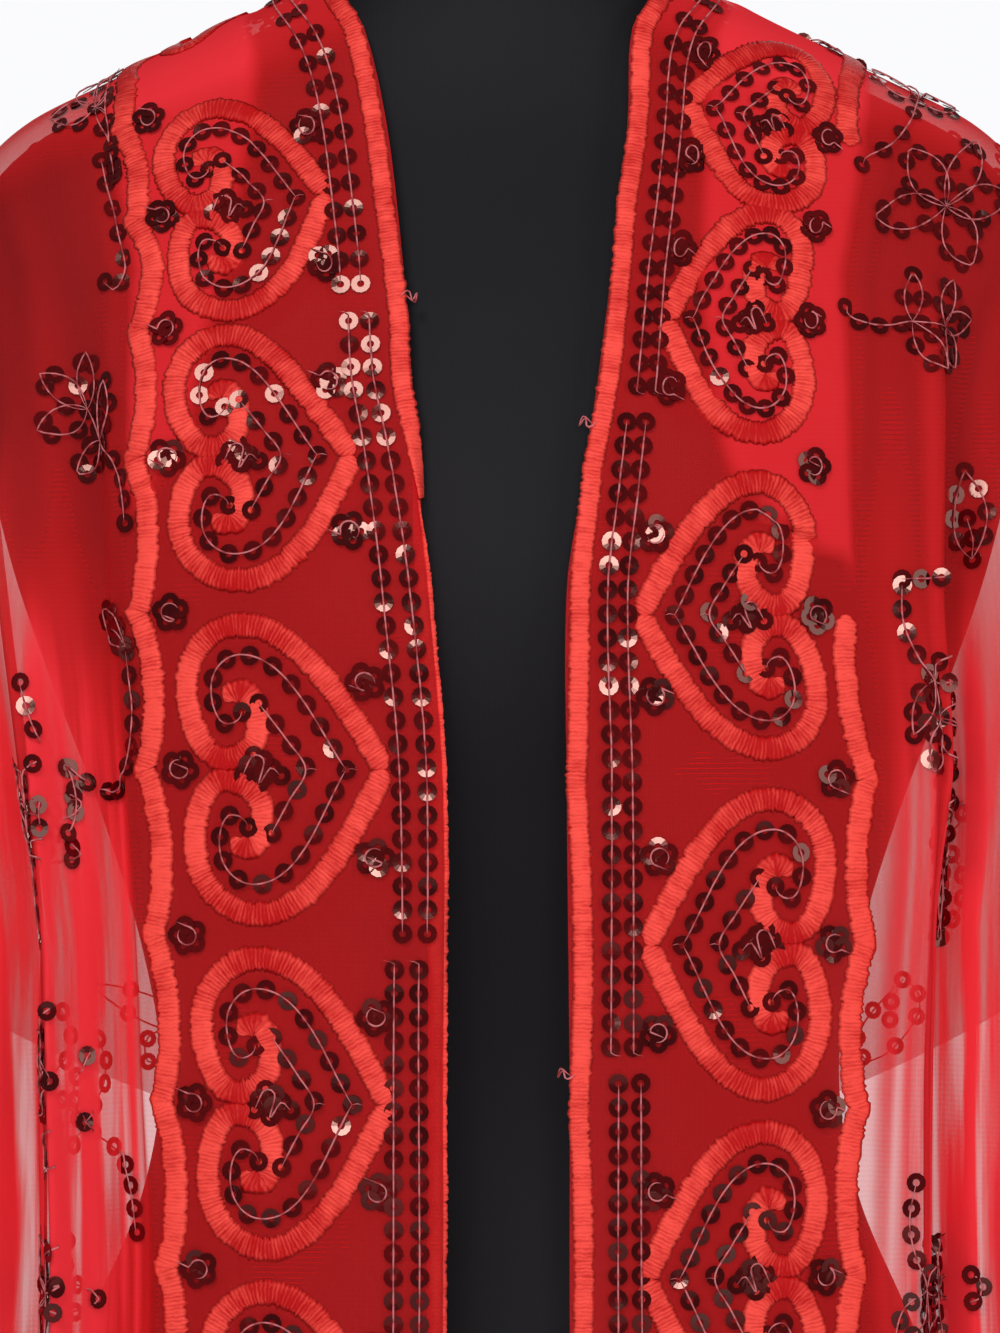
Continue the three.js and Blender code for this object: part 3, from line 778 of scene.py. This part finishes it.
def sequin_shape(radius, sides=12):
    """A flat ring with a hole, barely cupped, with a second skin below."""
    cos, sin = circle(sides)
    profile = [(0.38, 0.08), (1.0, 0.1), (1.0, 0.04), (0.38, 0.02)]
    rings = [np.stack([r * cos, r * sin, np.full(sides, h)], -1) for r, h in profile]
    i, j = np.meshgrid(np.arange(4), np.arange(sides), indexing="ij")
    k, m = (j + 1) % sides, (i + 1) % 4
    quads = np.stack([i * sides + j, m * sides + j, m * sides + k, i * sides + k], -1).reshape(-1, 4)
    return np.concatenate(rings) * radius, quads


def sew_sequins(name, lines, tilt, seed):
    """One object of sequins at the points of each line, every one tilted a little in its own direction."""
    places = [laid(line, 0.5) for line in lines]
    points, normals = (np.concatenate([place[k] for place in places]) for k in range(2))
    rng = np.random.default_rng(seed)
    count = len(points)
    first = unit(np.cross(normals, (0.3, 0.2, 1.0)))
    second = np.cross(normals, first)
    lean = np.radians(rng.normal(0, tilt, (count, 2)))
    up = unit(normals + first * lean[:, :1] + second * lean[:, 1:])
    first = unit(first - up * (first * up).sum(1, keepdims=True))
    second = np.cross(up, first)
    shape, quads = sequin_shape(mm("sequin_width") / 2)
    spin = rng.uniform(0, 2 * np.pi, count)[:, None]
    x = shape[None, :, 0] * np.cos(spin) - shape[None, :, 1] * np.sin(spin)
    y = shape[None, :, 0] * np.sin(spin) + shape[None, :, 1] * np.cos(spin)
    z = np.broadcast_to(shape[None, :, 2], x.shape) + rng.uniform(0, 0.4, count)[:, None]
    corners = points[:, None, :] + x[..., None] * first[:, None] + y[..., None] * second[:, None]
    corners = corners + z[..., None] * up[:, None]
    faces = (quads[None] + np.arange(count)[:, None, None] * len(shape)).reshape(-1, 4)
    piece = make_piece(name, corners.reshape(-1, 3), [faces], "sequin", smooth=False)
    return piece


def settle(made, **settings):
    """Sets or feeds a node's sockets, or sets its own options; an underscore stands for a space."""
    for key, value in settings.items():
        name = key.replace("_", " ")
        if isinstance(value, bpy.types.NodeSocket):
            made.id_data.links.new(value, made.inputs[name])
        elif name in made.inputs:
            made.inputs[name].default_value = value
        else:
            setattr(made, key, value)


def node(tree, kind, **settings):
    made = tree.nodes.new("ShaderNode" + kind)
    settle(made, **settings)
    return made


def texture(tree, kind, place, **settings):
    return node(tree, "Tex" + kind, Vector=place, **settings).outputs["Fac"]


def level_of(tree, name):
    """A named number of the piece's points."""
    return node(tree, "Attribute", attribute_name=name).outputs["Fac"]


def sum_of(tree, operation, *terms):
    """One step of arithmetic, each term a number or a socket."""
    made = node(tree, "Math", operation=operation)
    for socket, term in zip(made.inputs, terms):
        if isinstance(term, float):
            socket.default_value = term
        else:
            tree.links.new(term, socket)
    return made.outputs[0]


def ramp(tree, source, low, high, start=0.0, end=1.0):
    """A two-colour ramp driven by one number."""
    made = node(tree, "ValToRGB", Fac=source)
    for element, shade, position in zip(made.color_ramp.elements, (low, high), (start, end)):
        element.color = shade
        element.position = position
    return made.outputs["Color"]


def scaled(tree, source, start, end, low=0.0, high=1.0):
    """A number brought from start..end to low..high."""
    made = node(tree, "MapRange", Value=source, From_Min=start, From_Max=end, To_Min=low, To_Max=high)
    return made.outputs[0]


def bumped(tree, height, strength, distance):
    """A normal from a number taken as relief."""
    return node(tree, "Bump", Height=height, Strength=strength, Distance=distance).outputs["Normal"]


def on_cloth(tree):
    return node(tree, "UVMap", uv_map="cloth").outputs["UV"]


def on_object(tree):
    return node(tree, "TexCoord").outputs["Object"]


def red_polyester_tulle_knitted(tree, shader):
    """Polyester tulle, warp knitted and dyed: a matt net that veils the form and lets white through."""
    settle(shader, Roughness=0.75, Specular_IOR_Level=0.0, Sheen_Weight=0.03, Sheen_Tint=linear("#ff5a50"))
    place = on_cloth(tree)
    # Net holes are about 1 mm, and the rows are drawn 1.7 mm apart, so that they show as fine level lines
    rows = texture(tree, "Wave", place, Scale=185.0, Distortion=1.5, Detail=1.0)
    cloudy = texture(tree, "Noise", place, Scale=26.0, Detail=4.0)
    gaps = scaled(tree, sum_of(tree, "MULTIPLY_ADD", rows, 0.35, cloudy), 0.2, 1.15, 0.49, 0.40)
    # Where a fold turns away, more net lies behind each patch: the open share is raised to that power,
    # and beside the body that power itself runs in streaks along the cloth, as bunched net does
    pulled = node(tree, "Mapping", Vector=place, Scale=(0.05, 1.0, 1.0)).outputs[0]
    streaks = texture(tree, "Noise", pulled, Scale=150.0, Detail=3.0)
    uneven = scaled(tree, streaks, 0.36, 0.64, -0.6, 0.8)
    power = sum_of(tree, "MULTIPLY_ADD", uneven, level_of(tree, "bunched"), 1.0)
    layers = sum_of(tree, "POWER", level_of(tree, "cover"), power)
    settle(shader, Alpha=sum_of(tree, "SUBTRACT", 1.0, sum_of(tree, "POWER", gaps, layers)))
    # Painted light: light passes on from layer to layer, so the colour is made brighter where the net is
    # packed
    packed = scaled(tree, layers, 1.3, 4.5)
    settle(shader, Base_Color=ramp(tree, packed, tint("tulle"), tint("tulle_packed_painted_light")))


def rayon_satin_stitch_embroidered(tree, shader):
    """Rayon satin stitch, machine embroidered: silky threads, with a painted sheen that makes them bright
    where they cross the light.
    """
    settle(shader, Roughness=0.45, Specular_IOR_Level=0.3, Specular_Tint=linear("#ffa094"))
    settle(shader, Sheen_Weight=0.05, Sheen_Tint=linear("#ff6a5a"))
    place = on_cloth(tree)
    # A stitch is about 0.4 mm, and they are drawn in bundles of 1.3 mm, as they group in the photograph
    stitches = texture(tree, "Wave", place, Scale=240.0, Distortion=3.5, Detail=2.0, Detail_Scale=2.0)
    pulled = node(tree, "Mapping", Vector=place, Scale=(1.0, 0.12, 1.0)).outputs[0]
    strands = texture(tree, "Noise", pulled, Scale=900.0, Detail=2.0)
    patches = texture(tree, "Noise", place, Scale=170.0, Detail=2.0)
    wave = sum_of(tree, "MULTIPLY_ADD", stitches, 0.35, sum_of(tree, "ADD", strands, patches))
    # Painted sheen and painted shade: the colour runs from the thread's shaded red to its lit coral by how
    # upright the line runs, and the stitch relief and noise patches make the highlights uneven
    light = sum_of(tree, "ADD", level_of(tree, "painted_sheen"), wave)
    shade = ramp(tree, scaled(tree, light, 1.25, 2.15), tint("satin_painted_shade"), tint("satin"))
    settle(shader, Base_Color=shade, Normal=bumped(tree, wave, 0.45, 0.0004))


def polyester_film_sequin_punched(tree, shader):
    """Polyester film, dyed dark red and punched: deep red until a face mirrors the lamp as pale pink."""
    settle(shader, Roughness=0.08, Specular_IOR_Level=1.0, Specular_Tint=linear("#ffc4b6"))
    patches = texture(tree, "Noise", on_object(tree), Scale=60.0, Detail=1.0)
    settle(shader, Base_Color=ramp(tree, patches, linear("#3a0206"), tint("sequin"), 0.35, 0.65))


def polyester_thread_spun(tree, shader):
    """Polyester sewing thread, spun: a pale pinkish line with a soft twist."""
    twist = texture(tree, "Noise", on_object(tree), Scale=300.0, Detail=1.0)
    shade = ramp(tree, twist, linear("#9c2a30"), tint("thread"), 0.36, 0.58)
    settle(shader, Roughness=0.55, Base_Color=shade)


def black_stretch_jersey_knitted(tree, shader):
    """Black stretch jersey over a moulded form, knitted: matt black with a faint bluish bloom."""
    settle(shader, Roughness=0.7, Specular_IOR_Level=0.25)
    settle(shader, Sheen_Weight=0.06, Sheen_Roughness=0.5, Sheen_Tint=linear("#8a8896"))
    place = on_object(tree)
    mottle = texture(tree, "Noise", place, Scale=14.0, Detail=4.0)
    # Jersey ribs are about 0.4 mm, and are drawn at 1 mm, so that they show
    ribs = texture(tree, "Wave", place, Scale=300.0, Distortion=0.6, Detail=1.0)
    shade = ramp(tree, mottle, linear("#121014"), tint("jersey"))
    settle(shader, Base_Color=shade, Normal=bumped(tree, ribs, 0.12, 0.0002))


def steel_black_powder_coated(tree, shader):
    """Mild steel with a baked black powder coat: satin black with a fine orange peel."""
    peel = texture(tree, "Noise", on_object(tree), Scale=420.0, Detail=2.0)
    gloss = scaled(tree, peel, 0, 1, 0.38, 0.52)
    settle(shader, Base_Color=tint("steel"), Roughness=gloss, Normal=bumped(tree, peel, 0.2, 0.0004))


def pale_studio_floor_painted(tree, shader):
    """Painted studio floor, rolled: pale, even and matt."""
    settle(shader, Base_Color=tint("floor"), Roughness=0.8)


FINISHES = {
    "tulle": red_polyester_tulle_knitted,
    "satin": rayon_satin_stitch_embroidered,
    "sequin": polyester_film_sequin_punched,
    "thread": polyester_thread_spun,
    "jersey": black_stretch_jersey_knitted,
    "steel": steel_black_powder_coated,
    "floor": pale_studio_floor_painted,
}


def material(finish):
    """Each material is made once, by the function that bears its name."""
    make = FINISHES[finish]
    made = bpy.data.materials.get(make.__name__)
    if made is None:
        made = bpy.data.materials.new(make.__name__)
        made.use_nodes = True
        make(made.node_tree, next(n for n in made.node_tree.nodes if n.type == "BSDF_PRINCIPLED"))
    return made


def add_lamp(name, place, target, width, height, power):
    lamp = bpy.data.lights.new(name, "AREA")
    lamp.shape = "RECTANGLE"
    lamp.size, lamp.size_y = width, height
    lamp.energy = power
    light = bpy.data.objects.new(name, lamp)
    light.location = place
    light.rotation_euler = (Vector(target) - Vector(place)).to_track_quat("-Z", "Y").to_euler()
    bpy.context.collection.objects.link(light)


class STOLE_OT_stage(bpy.types.Operator):
    """Pale floor, soft studio light and the camera at the photographed angle"""

    bl_idname = "stole.stage"
    bl_label = "Add stage"

    def execute(self, context):
        sides = 64
        j = np.arange(sides)
        ring = np.stack([*circle(sides), np.zeros(sides)], -1)
        floor_points = np.vstack([ring * 6000, ring * 3000, [[0, 0, 0]]])
        quads = grid_faces(2, sides, ring=True)
        middle = np.stack([sides + j, sides + (j + 1) % sides, np.full(sides, 2 * sides)], -1)
        mesh = bpy.data.meshes.new("studio_floor")
        mesh.from_pydata((floor_points * MM).tolist(), [], quads.tolist() + middle.tolist())
        mesh.materials.append(material("floor"))
        floor = bpy.data.objects.new("studio_floor", mesh)
        context.collection.objects.link(floor)

        # Frame of the photograph: 1000 x 1333, a third of a millimetre a pixel at the front of the cloth
        scale, pixels_high, centre_height, distance, front = 0.33, 1333, 1101, 2000, -129
        camera = bpy.data.cameras.new("camera")
        camera.sensor_fit = "VERTICAL"
        camera.sensor_height = 36
        camera.lens = 36 * distance / (scale * pixels_high)
        camera.clip_end = 50
        view = bpy.data.objects.new("camera", camera)
        view.location = Vector(np.array([0, front - distance, centre_height]) * MM + AXIS)
        view.rotation_euler = (math.radians(90), 0, 0)
        context.collection.objects.link(view)
        context.scene.camera = view

        # A wide low softbox just above the lens is what the sequins mirror, and a key lamp lights from above
        chest = (0, 0, 1.1)
        add_lamp("softbox", (0, -2.2, 1.46), chest, 1.0, 0.34, 15)
        add_lamp("key", (-0.65, -1.7, 2.75), chest, 0.7, 0.7, 16)
        add_lamp("fill", (1.8, -1.4, 1.7), chest, 0.9, 1.2, 7)
        add_lamp("back", (0.3, 2.2, 2.2), chest, 1.6, 1.6, 9)
        world = bpy.data.worlds.new("studio")
        world.use_nodes = True
        tree = world.node_tree
        # The backdrop is white to the eye, and lights the cloth as softly as one that stands far back
        path = node(tree, "LightPath")
        seen = scaled(tree, path.outputs["Is Camera Ray"], 0, 1, 0.36, 0.98)
        # A dark room behind the camera keeps the film of the sequins deep red where no lamp is mirrored
        strength = sum_of(tree, "MULTIPLY_ADD", path.outputs["Is Glossy Ray"], -0.28, seen)
        settle(tree.nodes["Background"], Strength=strength, Color=linear("#fdfdff"))
        context.scene.world = world
        context.scene.view_settings.view_transform = "Standard"
        return {"FINISHED"}


def ringed(name, rings, ends, finish, node_name):
    """A closed piece from level rings, low to high, with a fan to the axis at each end's height."""
    rows, sides = rings.shape[:2]
    j = np.arange(sides)
    k = (j + 1) % sides
    last, tip = (rows - 1) * sides, rows * sides
    foot = np.stack([np.full(sides, tip), k, j], -1)
    head = np.stack([np.full(sides, tip + 1), last + j, last + k], -1)
    points = np.vstack([rings.reshape(-1, 3), [[0, 0, end] for end in ends]])
    faces = [grid_faces(rows, sides, ring=True), np.concatenate([foot, head])]
    piece = make_piece(name, points, faces, finish)
    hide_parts(node_name)


def lathe(name, profile, finish, node_name, sides=96):
    """A turned piece from radius and height pairs that start and end on the axis, carried round it."""
    profile = np.array(profile, float)
    radius, height = profile[1:-1, :1], profile[1:-1, 1:]
    cos, sin = circle(sides)
    rings = np.stack(np.broadcast_arrays(radius * cos, radius * sin, height), -1)
    ringed(name, rings, profile[[0, -1], 1], finish, node_name)


class STOLE_OT_form(bpy.types.Operator):
    """The limbless torso with its neck and cap"""

    bl_idname = "stole.form"
    bl_label = "Add dress form"

    def execute(self, context):
        rows, sides, inset, taper = 150, 128, 3.0, 6
        z = np.linspace(FORM_FOOT, NECK_TOP, rows)[:, None]
        half, ahead, behind = (read(FORM_SECTIONS, key, z) for key in ("half", "front", "back"))
        cos, sin = circle(sides)
        shut = 1 - inset / half * (1 - ease((z - FORM_FOOT) / taper))
        depth = np.where(sin < 0, ahead, behind)
        rings = np.stack(np.broadcast_arrays(half * shut * cos, depth * shut * sin, z), -1)
        ringed("dress_form_torso", rings, (FORM_FOOT, NECK_TOP), "jersey", "form_torso")
        foot, radius, rim, dome = NECK_TOP + 0.3, 46, 5, 11
        profile = [(0, foot), (radius, foot), (radius, foot + rim)]
        arc = np.linspace(0.1, 1.45, 12)
        profile += [(radius * math.cos(a), foot + rim + dome * math.sin(a)) for a in arc]
        lathe("dress_form_cap", profile + [(0, foot + rim + dome)], "jersey", "form_cap")
        return {"FINISHED"}


BASE = ((0, 0), (163, 0), (165, 1.5), (165, 4.5), (163.5, 7.5), (160, 9.2), (110, 12.2), (60, 13.9), (0, 14))
# Other turned parts: radius and height above the foot, then radius and height from the top
ROUND = {
    "socket": (((0, 0), (30, 0), (29.4, 2)), ((20.5, -3), (19, 0), (0, 0))),
    "pole": (((0, 0), (14, 0)), ((14, 0), (0, 0))),
    "collar": (((0, 0), (20, 0), (21, 3)), ((40, -4), (42, 0), (0, 0))),
}


class STOLE_OT_stand(bpy.types.Operator):
    """The pole, its socket and collar, and the round base"""

    bl_idname = "stole.stand"
    bl_label = "Add stand"

    def execute(self, context):
        low, high = ({name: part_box("form_" + name)[end][2] / MM for name in ROUND} for end in (0, 1))
        lathe("stand_base", BASE, "steel", "form_base")
        for name, (lower, upper) in ROUND.items():
            profile = [(r, low[name] + rise) for r, rise in lower]
            profile += [(r, high[name] + rise) for r, rise in upper]
            lathe("stand_" + name, profile, "steel", "form_" + name)
        return {"FINISHED"}


def fit_fronts():
    """Works out each front's run to the shoulder and how low its inner and outer corners hang."""
    width, half = mm("cut_width"), mm("cut_length") / 2
    for front in (LEFT, RIGHT):
        front["run"] = half_run(front)
        for key, w in (("hem", 0.0), ("outer_hem", width)):
            back = lengths_along(back_cloth(front, w, np.linspace(1, 0, 33)))[-1]
            front[key] = float(crossing(front, np.float64(w)) - (half - back))


def hem_at(front, w):
    """Height of the end hem: level across the border, then a soft fall to the outer corner."""
    drop = ease((w - HEM_LEVEL) / (mm("cut_width") - HEM_LEVEL))
    return front["hem"] + (front["outer_hem"] - front["hem"]) * drop


def sheet_grid(front, columns, rows):
    """The front as a grid: rows go down from the shoulder line by a power, columns across the cloth."""
    top, hem = crossing(front, columns), hem_at(front, columns)
    z = top + (hem - top) * (np.linspace(0, 1, rows) ** 1.6)[:, None]
    return front_cloth(front, np.broadcast_to(columns, z.shape), z), z


def cover_of(front, grid, w, z, wide=24):
    """How many layers of net the eye meets at each point.

    A fold that turns away counts its step across against the body's way over a wider stretch, a tuck
    has three layers, the cloth is drawn together over the shoulder, and the gathers beside the body are
    packed closest along their ridges.
    """
    step = np.gradient(grid, axis=1)
    padded = np.pad(grid, ((0, 0), (wide, wide), (0, 0)), mode="edge")
    trend = unit(padded[:, 2 * wide :] - padded[:, : -2 * wide])
    turned_away = np.linalg.norm(step, axis=-1) / np.maximum((step * trend).sum(-1), 1e-6)
    ridges = np.clip(gathers(front, w, z), 0, 1) ** 1.6
    packed = 1 + LAYERS["bunched"] * bunched(w, z) + LAYERS["ridge"] * ridges
    packed = packed + SHOULDER_PACK * ease((z - crossing(front, w) + 34) / 30) * ease((200 - w) / 60)
    # Painted shade: over the upper body beside the border the net is made thinner, so the dark form darkens
    # it there
    painted_shade_thinning = 1 - front["painted_shade_thinning"] * ease((w - 112) / 20) * ease((z - 1100) / 60)
    doubled = 1 + LAYERS["tuck"] * tucked(front, w, z)
    return np.clip(turned_away, 1, LAYERS["most"]) * packed * painted_shade_thinning * doubled


class STOLE_OT_tulle(bpy.types.Operator):
    """The sheer cloth of the stole, one thin shell from end to end"""

    bl_idname = "stole.tulle"
    bl_label = "Add tulle"

    def execute(self, context):
        # Close columns at the edging, wider ones over the border, close ones again over the gathers
        parts = ((0, 14, 12), (16, 112, 44), (113.6, mm("cut_width"), 210))
        columns = np.concatenate([np.linspace(*part) for part in parts])
        down, turn = 110, np.linspace(0, 1, 50)[:, None]
        stretches = []
        for front in (LEFT, RIGHT):
            grid, z = sheet_grid(front, columns, down)
            run = front["sign"] * (front["run"] + crossing(front, np.float64(MIDDLE_OF_BORDER)) - z)
            stretches.append((grid, run, cover_of(front, grid, columns, z), bunched(columns, z)))
        halves = [back_cloth(LEFT, columns, turn), back_cloth(RIGHT, columns, turn[::-1])[1:]]
        run = np.concatenate([-LEFT["run"] * (1 - turn), RIGHT["run"] * (1 - turn[::-1][1:])])
        sides = ease(1 - 8 * turn) * ease((200 - columns) / 60)
        cover = LAYERS["back"] + SHOULDER_PACK * np.concatenate([sides, sides[::-1][1:]])
        stretches.append((np.concatenate(halves), run, cover, np.zeros(cover.shape)))
        faces, start = [], 0
        for (grid, *_), sign in zip(stretches, (-1, 1, 1)):
            quads = grid_faces(*grid.shape[:2], start=start)
            faces.append(quads if sign > 0 else quads[:, ::-1])
            start += grid.shape[0] * grid.shape[1]
        points, runs, cover, streaked = zip(*stretches)
        points = np.concatenate([grid.reshape(-1, 3) for grid in points])
        places = [np.stack(np.broadcast_arrays(run, columns), -1).reshape(-1, 2) for run in runs]
        uv = np.concatenate(places) * MM
        levels = {
            "cover": np.concatenate([level.ravel() for level in cover]),
            "bunched": np.concatenate([level.ravel() for level in streaked]),
        }
        cloth = make_piece("tulle_stole", points, [np.concatenate(faces)], "tulle", uv, levels=levels)
        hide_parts("stole_front_left", "stole_front_right", "stole_back")
        return {"FINISHED"}


class STOLE_OT_satin(bpy.types.Operator):
    """Hearts, scalloped line and edging in raised satin stitch"""

    bl_idname = "stole.satin"
    bl_label = "Add satin stitch"

    def execute(self, context):
        rng = np.random.default_rng(sizes().seed)
        height, step = mm("satin_height"), 0.9
        section = satin_section(mm("satin_width"), height)
        hearts = {-1: [], 1: []}
        for place in heart_places():
            for half in (half_heart(HEART), mirrored(half_heart(HEART))):
                surface, path = at_heart(half, place)
                hearts[1 if place[0] > 0 else -1].append((surface, resample(path, step)))
        for sign, name in ((-1, "satin_hearts_left"), (1, "satin_hearts_right")):
            sweep_all(name, hearts[sign], section, "satin", rng, 0.07, 0.2)

        left, right = cusp_places(LEFT)[::-1], cusp_places(RIGHT)
        over = np.linspace(left[-1], right[0], int((right[0] - left[-1]) / 50) + 1)[1:-1]
        upper = np.concatenate([left, over, right[right < along(RIGHT, 1262)]])
        lower = right[right > along(RIGHT, 1128)]
        lines = [(on_stole, resample(scalloped(part, 103.5, 4.4), step)) for part in (upper, lower)]
        sweep_all("satin_scallops", lines, section, "satin", rng, 0.08, 0.2)

        ends = [along(front, front["hem"] + 4) for front in (LEFT, RIGHT)]
        dips = [along(front, z) for front in (LEFT, RIGHT) for z in between_hearts(front)]
        stops = np.sort(np.array([ends[0], *dips, -150, -52, 48, 145, ends[1]]))
        line = resample(scalloped(stops, mm("edging_width") / 2 - 0.4, -1.9, 1.0), step)
        section = satin_section(mm("edging_width"), height * 1.1)
        piece = sweep_all("satin_edging", [(on_stole, line)], section, "satin", rng, 0.07, 0.2)
        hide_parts("edging_front_left", "edging_front_right", "edging_back")
        return {"FINISHED"}


def row_lines():
    """The double rows, stretch by stretch: each ends short of the next, which starts a little across."""
    marks = [along(LEFT, LEFT["hem"] + 8)]
    marks += [along(LEFT, z) for z in ROW_ENDS[-1][::-1]]
    marks += [along(RIGHT, z) for z in ROW_ENDS[1]]
    marks += [along(RIGHT, RIGHT["hem"] + 8)]
    lines = []
    for number, (a, b) in enumerate(zip(marks, marks[1:])):
        shift = ROWS["shift"] * (number % 2)
        for w in (ROWS["near"] + shift, ROWS["far"] + shift):
            drift = 0.8 * math.sin(1.7 * number + w)
            lines.append(np.array([[a + ROWS["gap"], w], [(a + b) / 2, w + drift], [b - ROWS["gap"], w]]))
    return lines


def hooked(path):
    """A row's thread with a short hook at its far end."""
    end, before = path[-1], path[-2]
    ahead = (end - before) / np.linalg.norm(end - before)
    return np.vstack([path, end + ahead * 2.5, end + ahead * 3 + (0, 3.4)])


class STOLE_OT_sequins(bpy.types.Operator):
    """Double rows beside the edging, lines in the hearts, rosettes and sprigs"""

    bl_idname = "stole.sequins"
    bl_label = "Add sequins"

    def execute(self, context):
        rows = [(on_stole, line) for line in row_lines()]
        sew_sequins("sequin_rows", pitched(rows, mm("row_pitch")), 2.6, 3)
        threads = [(on_stole, resample(hooked(line), 2.0)) for surface, line in rows]

        vein, vee = half_heart(VEIN, VEIN["tip"]), rounded(CLEFT["vee"], 8)
        veins = [at_heart(line, place) for place in heart_places() for line in (vein, mirrored(vein), vee)]
        sew_sequins("sequin_hearts", pitched(veins, mm("motif_pitch")), 4, 5)
        threads += pitched(veins, 1.6)
        buds = [at_heart(rounded(CLEFT["bud"]), place) for place in heart_places()]
        sew_sequins("sequin_buds", pitched(buds, mm("motif_pitch") / 2), 5, 4)
        for place in heart_places():
            threads.append(at_heart(resample(rounded(CLEFT["bud"]), 1.4), place))
            for u in (VEIN["tip"], CLEFT["vee"][2][0]):
                threads.append(at_heart(np.array([[u - TICK, 0.0], [u - TICK / 2, 0.4], [u, 0.0]]), place))

        roses = [(g + way * share, mm("heart_tip") + 4) for g, share in heart_places() for way in (29, -29)]
        roses += [(g, 91.5) for front in (LEFT, RIGHT) for g in cusp_places(front)]
        spots = [(on_stole, rosette(centre, 0.7 * number)) for number, centre in enumerate(roses)]
        sew_sequins("sequin_rosettes", spots, 5, 7)
        for number, centre in enumerate(roses):
            turn = np.linspace(0.6, 5.4, 12) + number
            curl = np.stack([np.cos(turn), np.sin(turn)], -1) * 3.1 + centre
            threads.append((on_stole, resample(np.vstack([curl, curl[-1] + (2, 5)]), 1.2)))

        for front, z in ((LEFT, 1223), (RIGHT, 1182), (RIGHT, 967)):
            threads.append((on_stole, resample(rounded(TUFT) + (along(front, z), 0), 0.8)))

        sprigs = sprig_lines()
        sew_sequins("sequin_sprigs", pitched(sprigs, mm("motif_pitch")), 4, 9)
        threads += pitched(sprigs, 2.2)

        section = np.stack(circle(4), -1)[::-1] * mm("thread_width") / 2
        rng = np.random.default_rng(sizes().seed)
        sweep_all("sequin_thread", threads, section, "thread", rng, 0.1, 1.5)
        return {"FINISHED"}


class STOLE_PT_panel(bpy.types.Panel):
    bl_label = "Evening stole"
    bl_space_type = "VIEW_3D"
    bl_region_type = "UI"
    bl_category = "Stole"

    def draw(self, context):
        for group in (context.scene.stole_sizes, context.scene.stole_colours):
            for name in group.__annotations__:
                self.layout.prop(group, name)
        for operator in OPERATORS:
            self.layout.operator(operator.bl_idname)


OPERATORS = (STOLE_OT_stage, STOLE_OT_form, STOLE_OT_stand, STOLE_OT_tulle, STOLE_OT_satin, STOLE_OT_sequins)
CLASSES = (StoleSizes, StoleColours, *OPERATORS, STOLE_PT_panel)


def register():
    for cls in CLASSES:
        bpy.utils.register_class(cls)
    bpy.types.Scene.stole_sizes = PointerProperty(type=StoleSizes)
    bpy.types.Scene.stole_colours = PointerProperty(type=StoleColours)


def unregister():
    del bpy.types.Scene.stole_colours
    del bpy.types.Scene.stole_sizes
    for cls in reversed(CLASSES):
        bpy.utils.unregister_class(cls)


def main():
    register()
    fit_fronts()
    for operator in OPERATORS:
        getattr(bpy.ops.stole, operator.bl_idname.split(".")[1])()


if __name__ == "__main__":
    main()
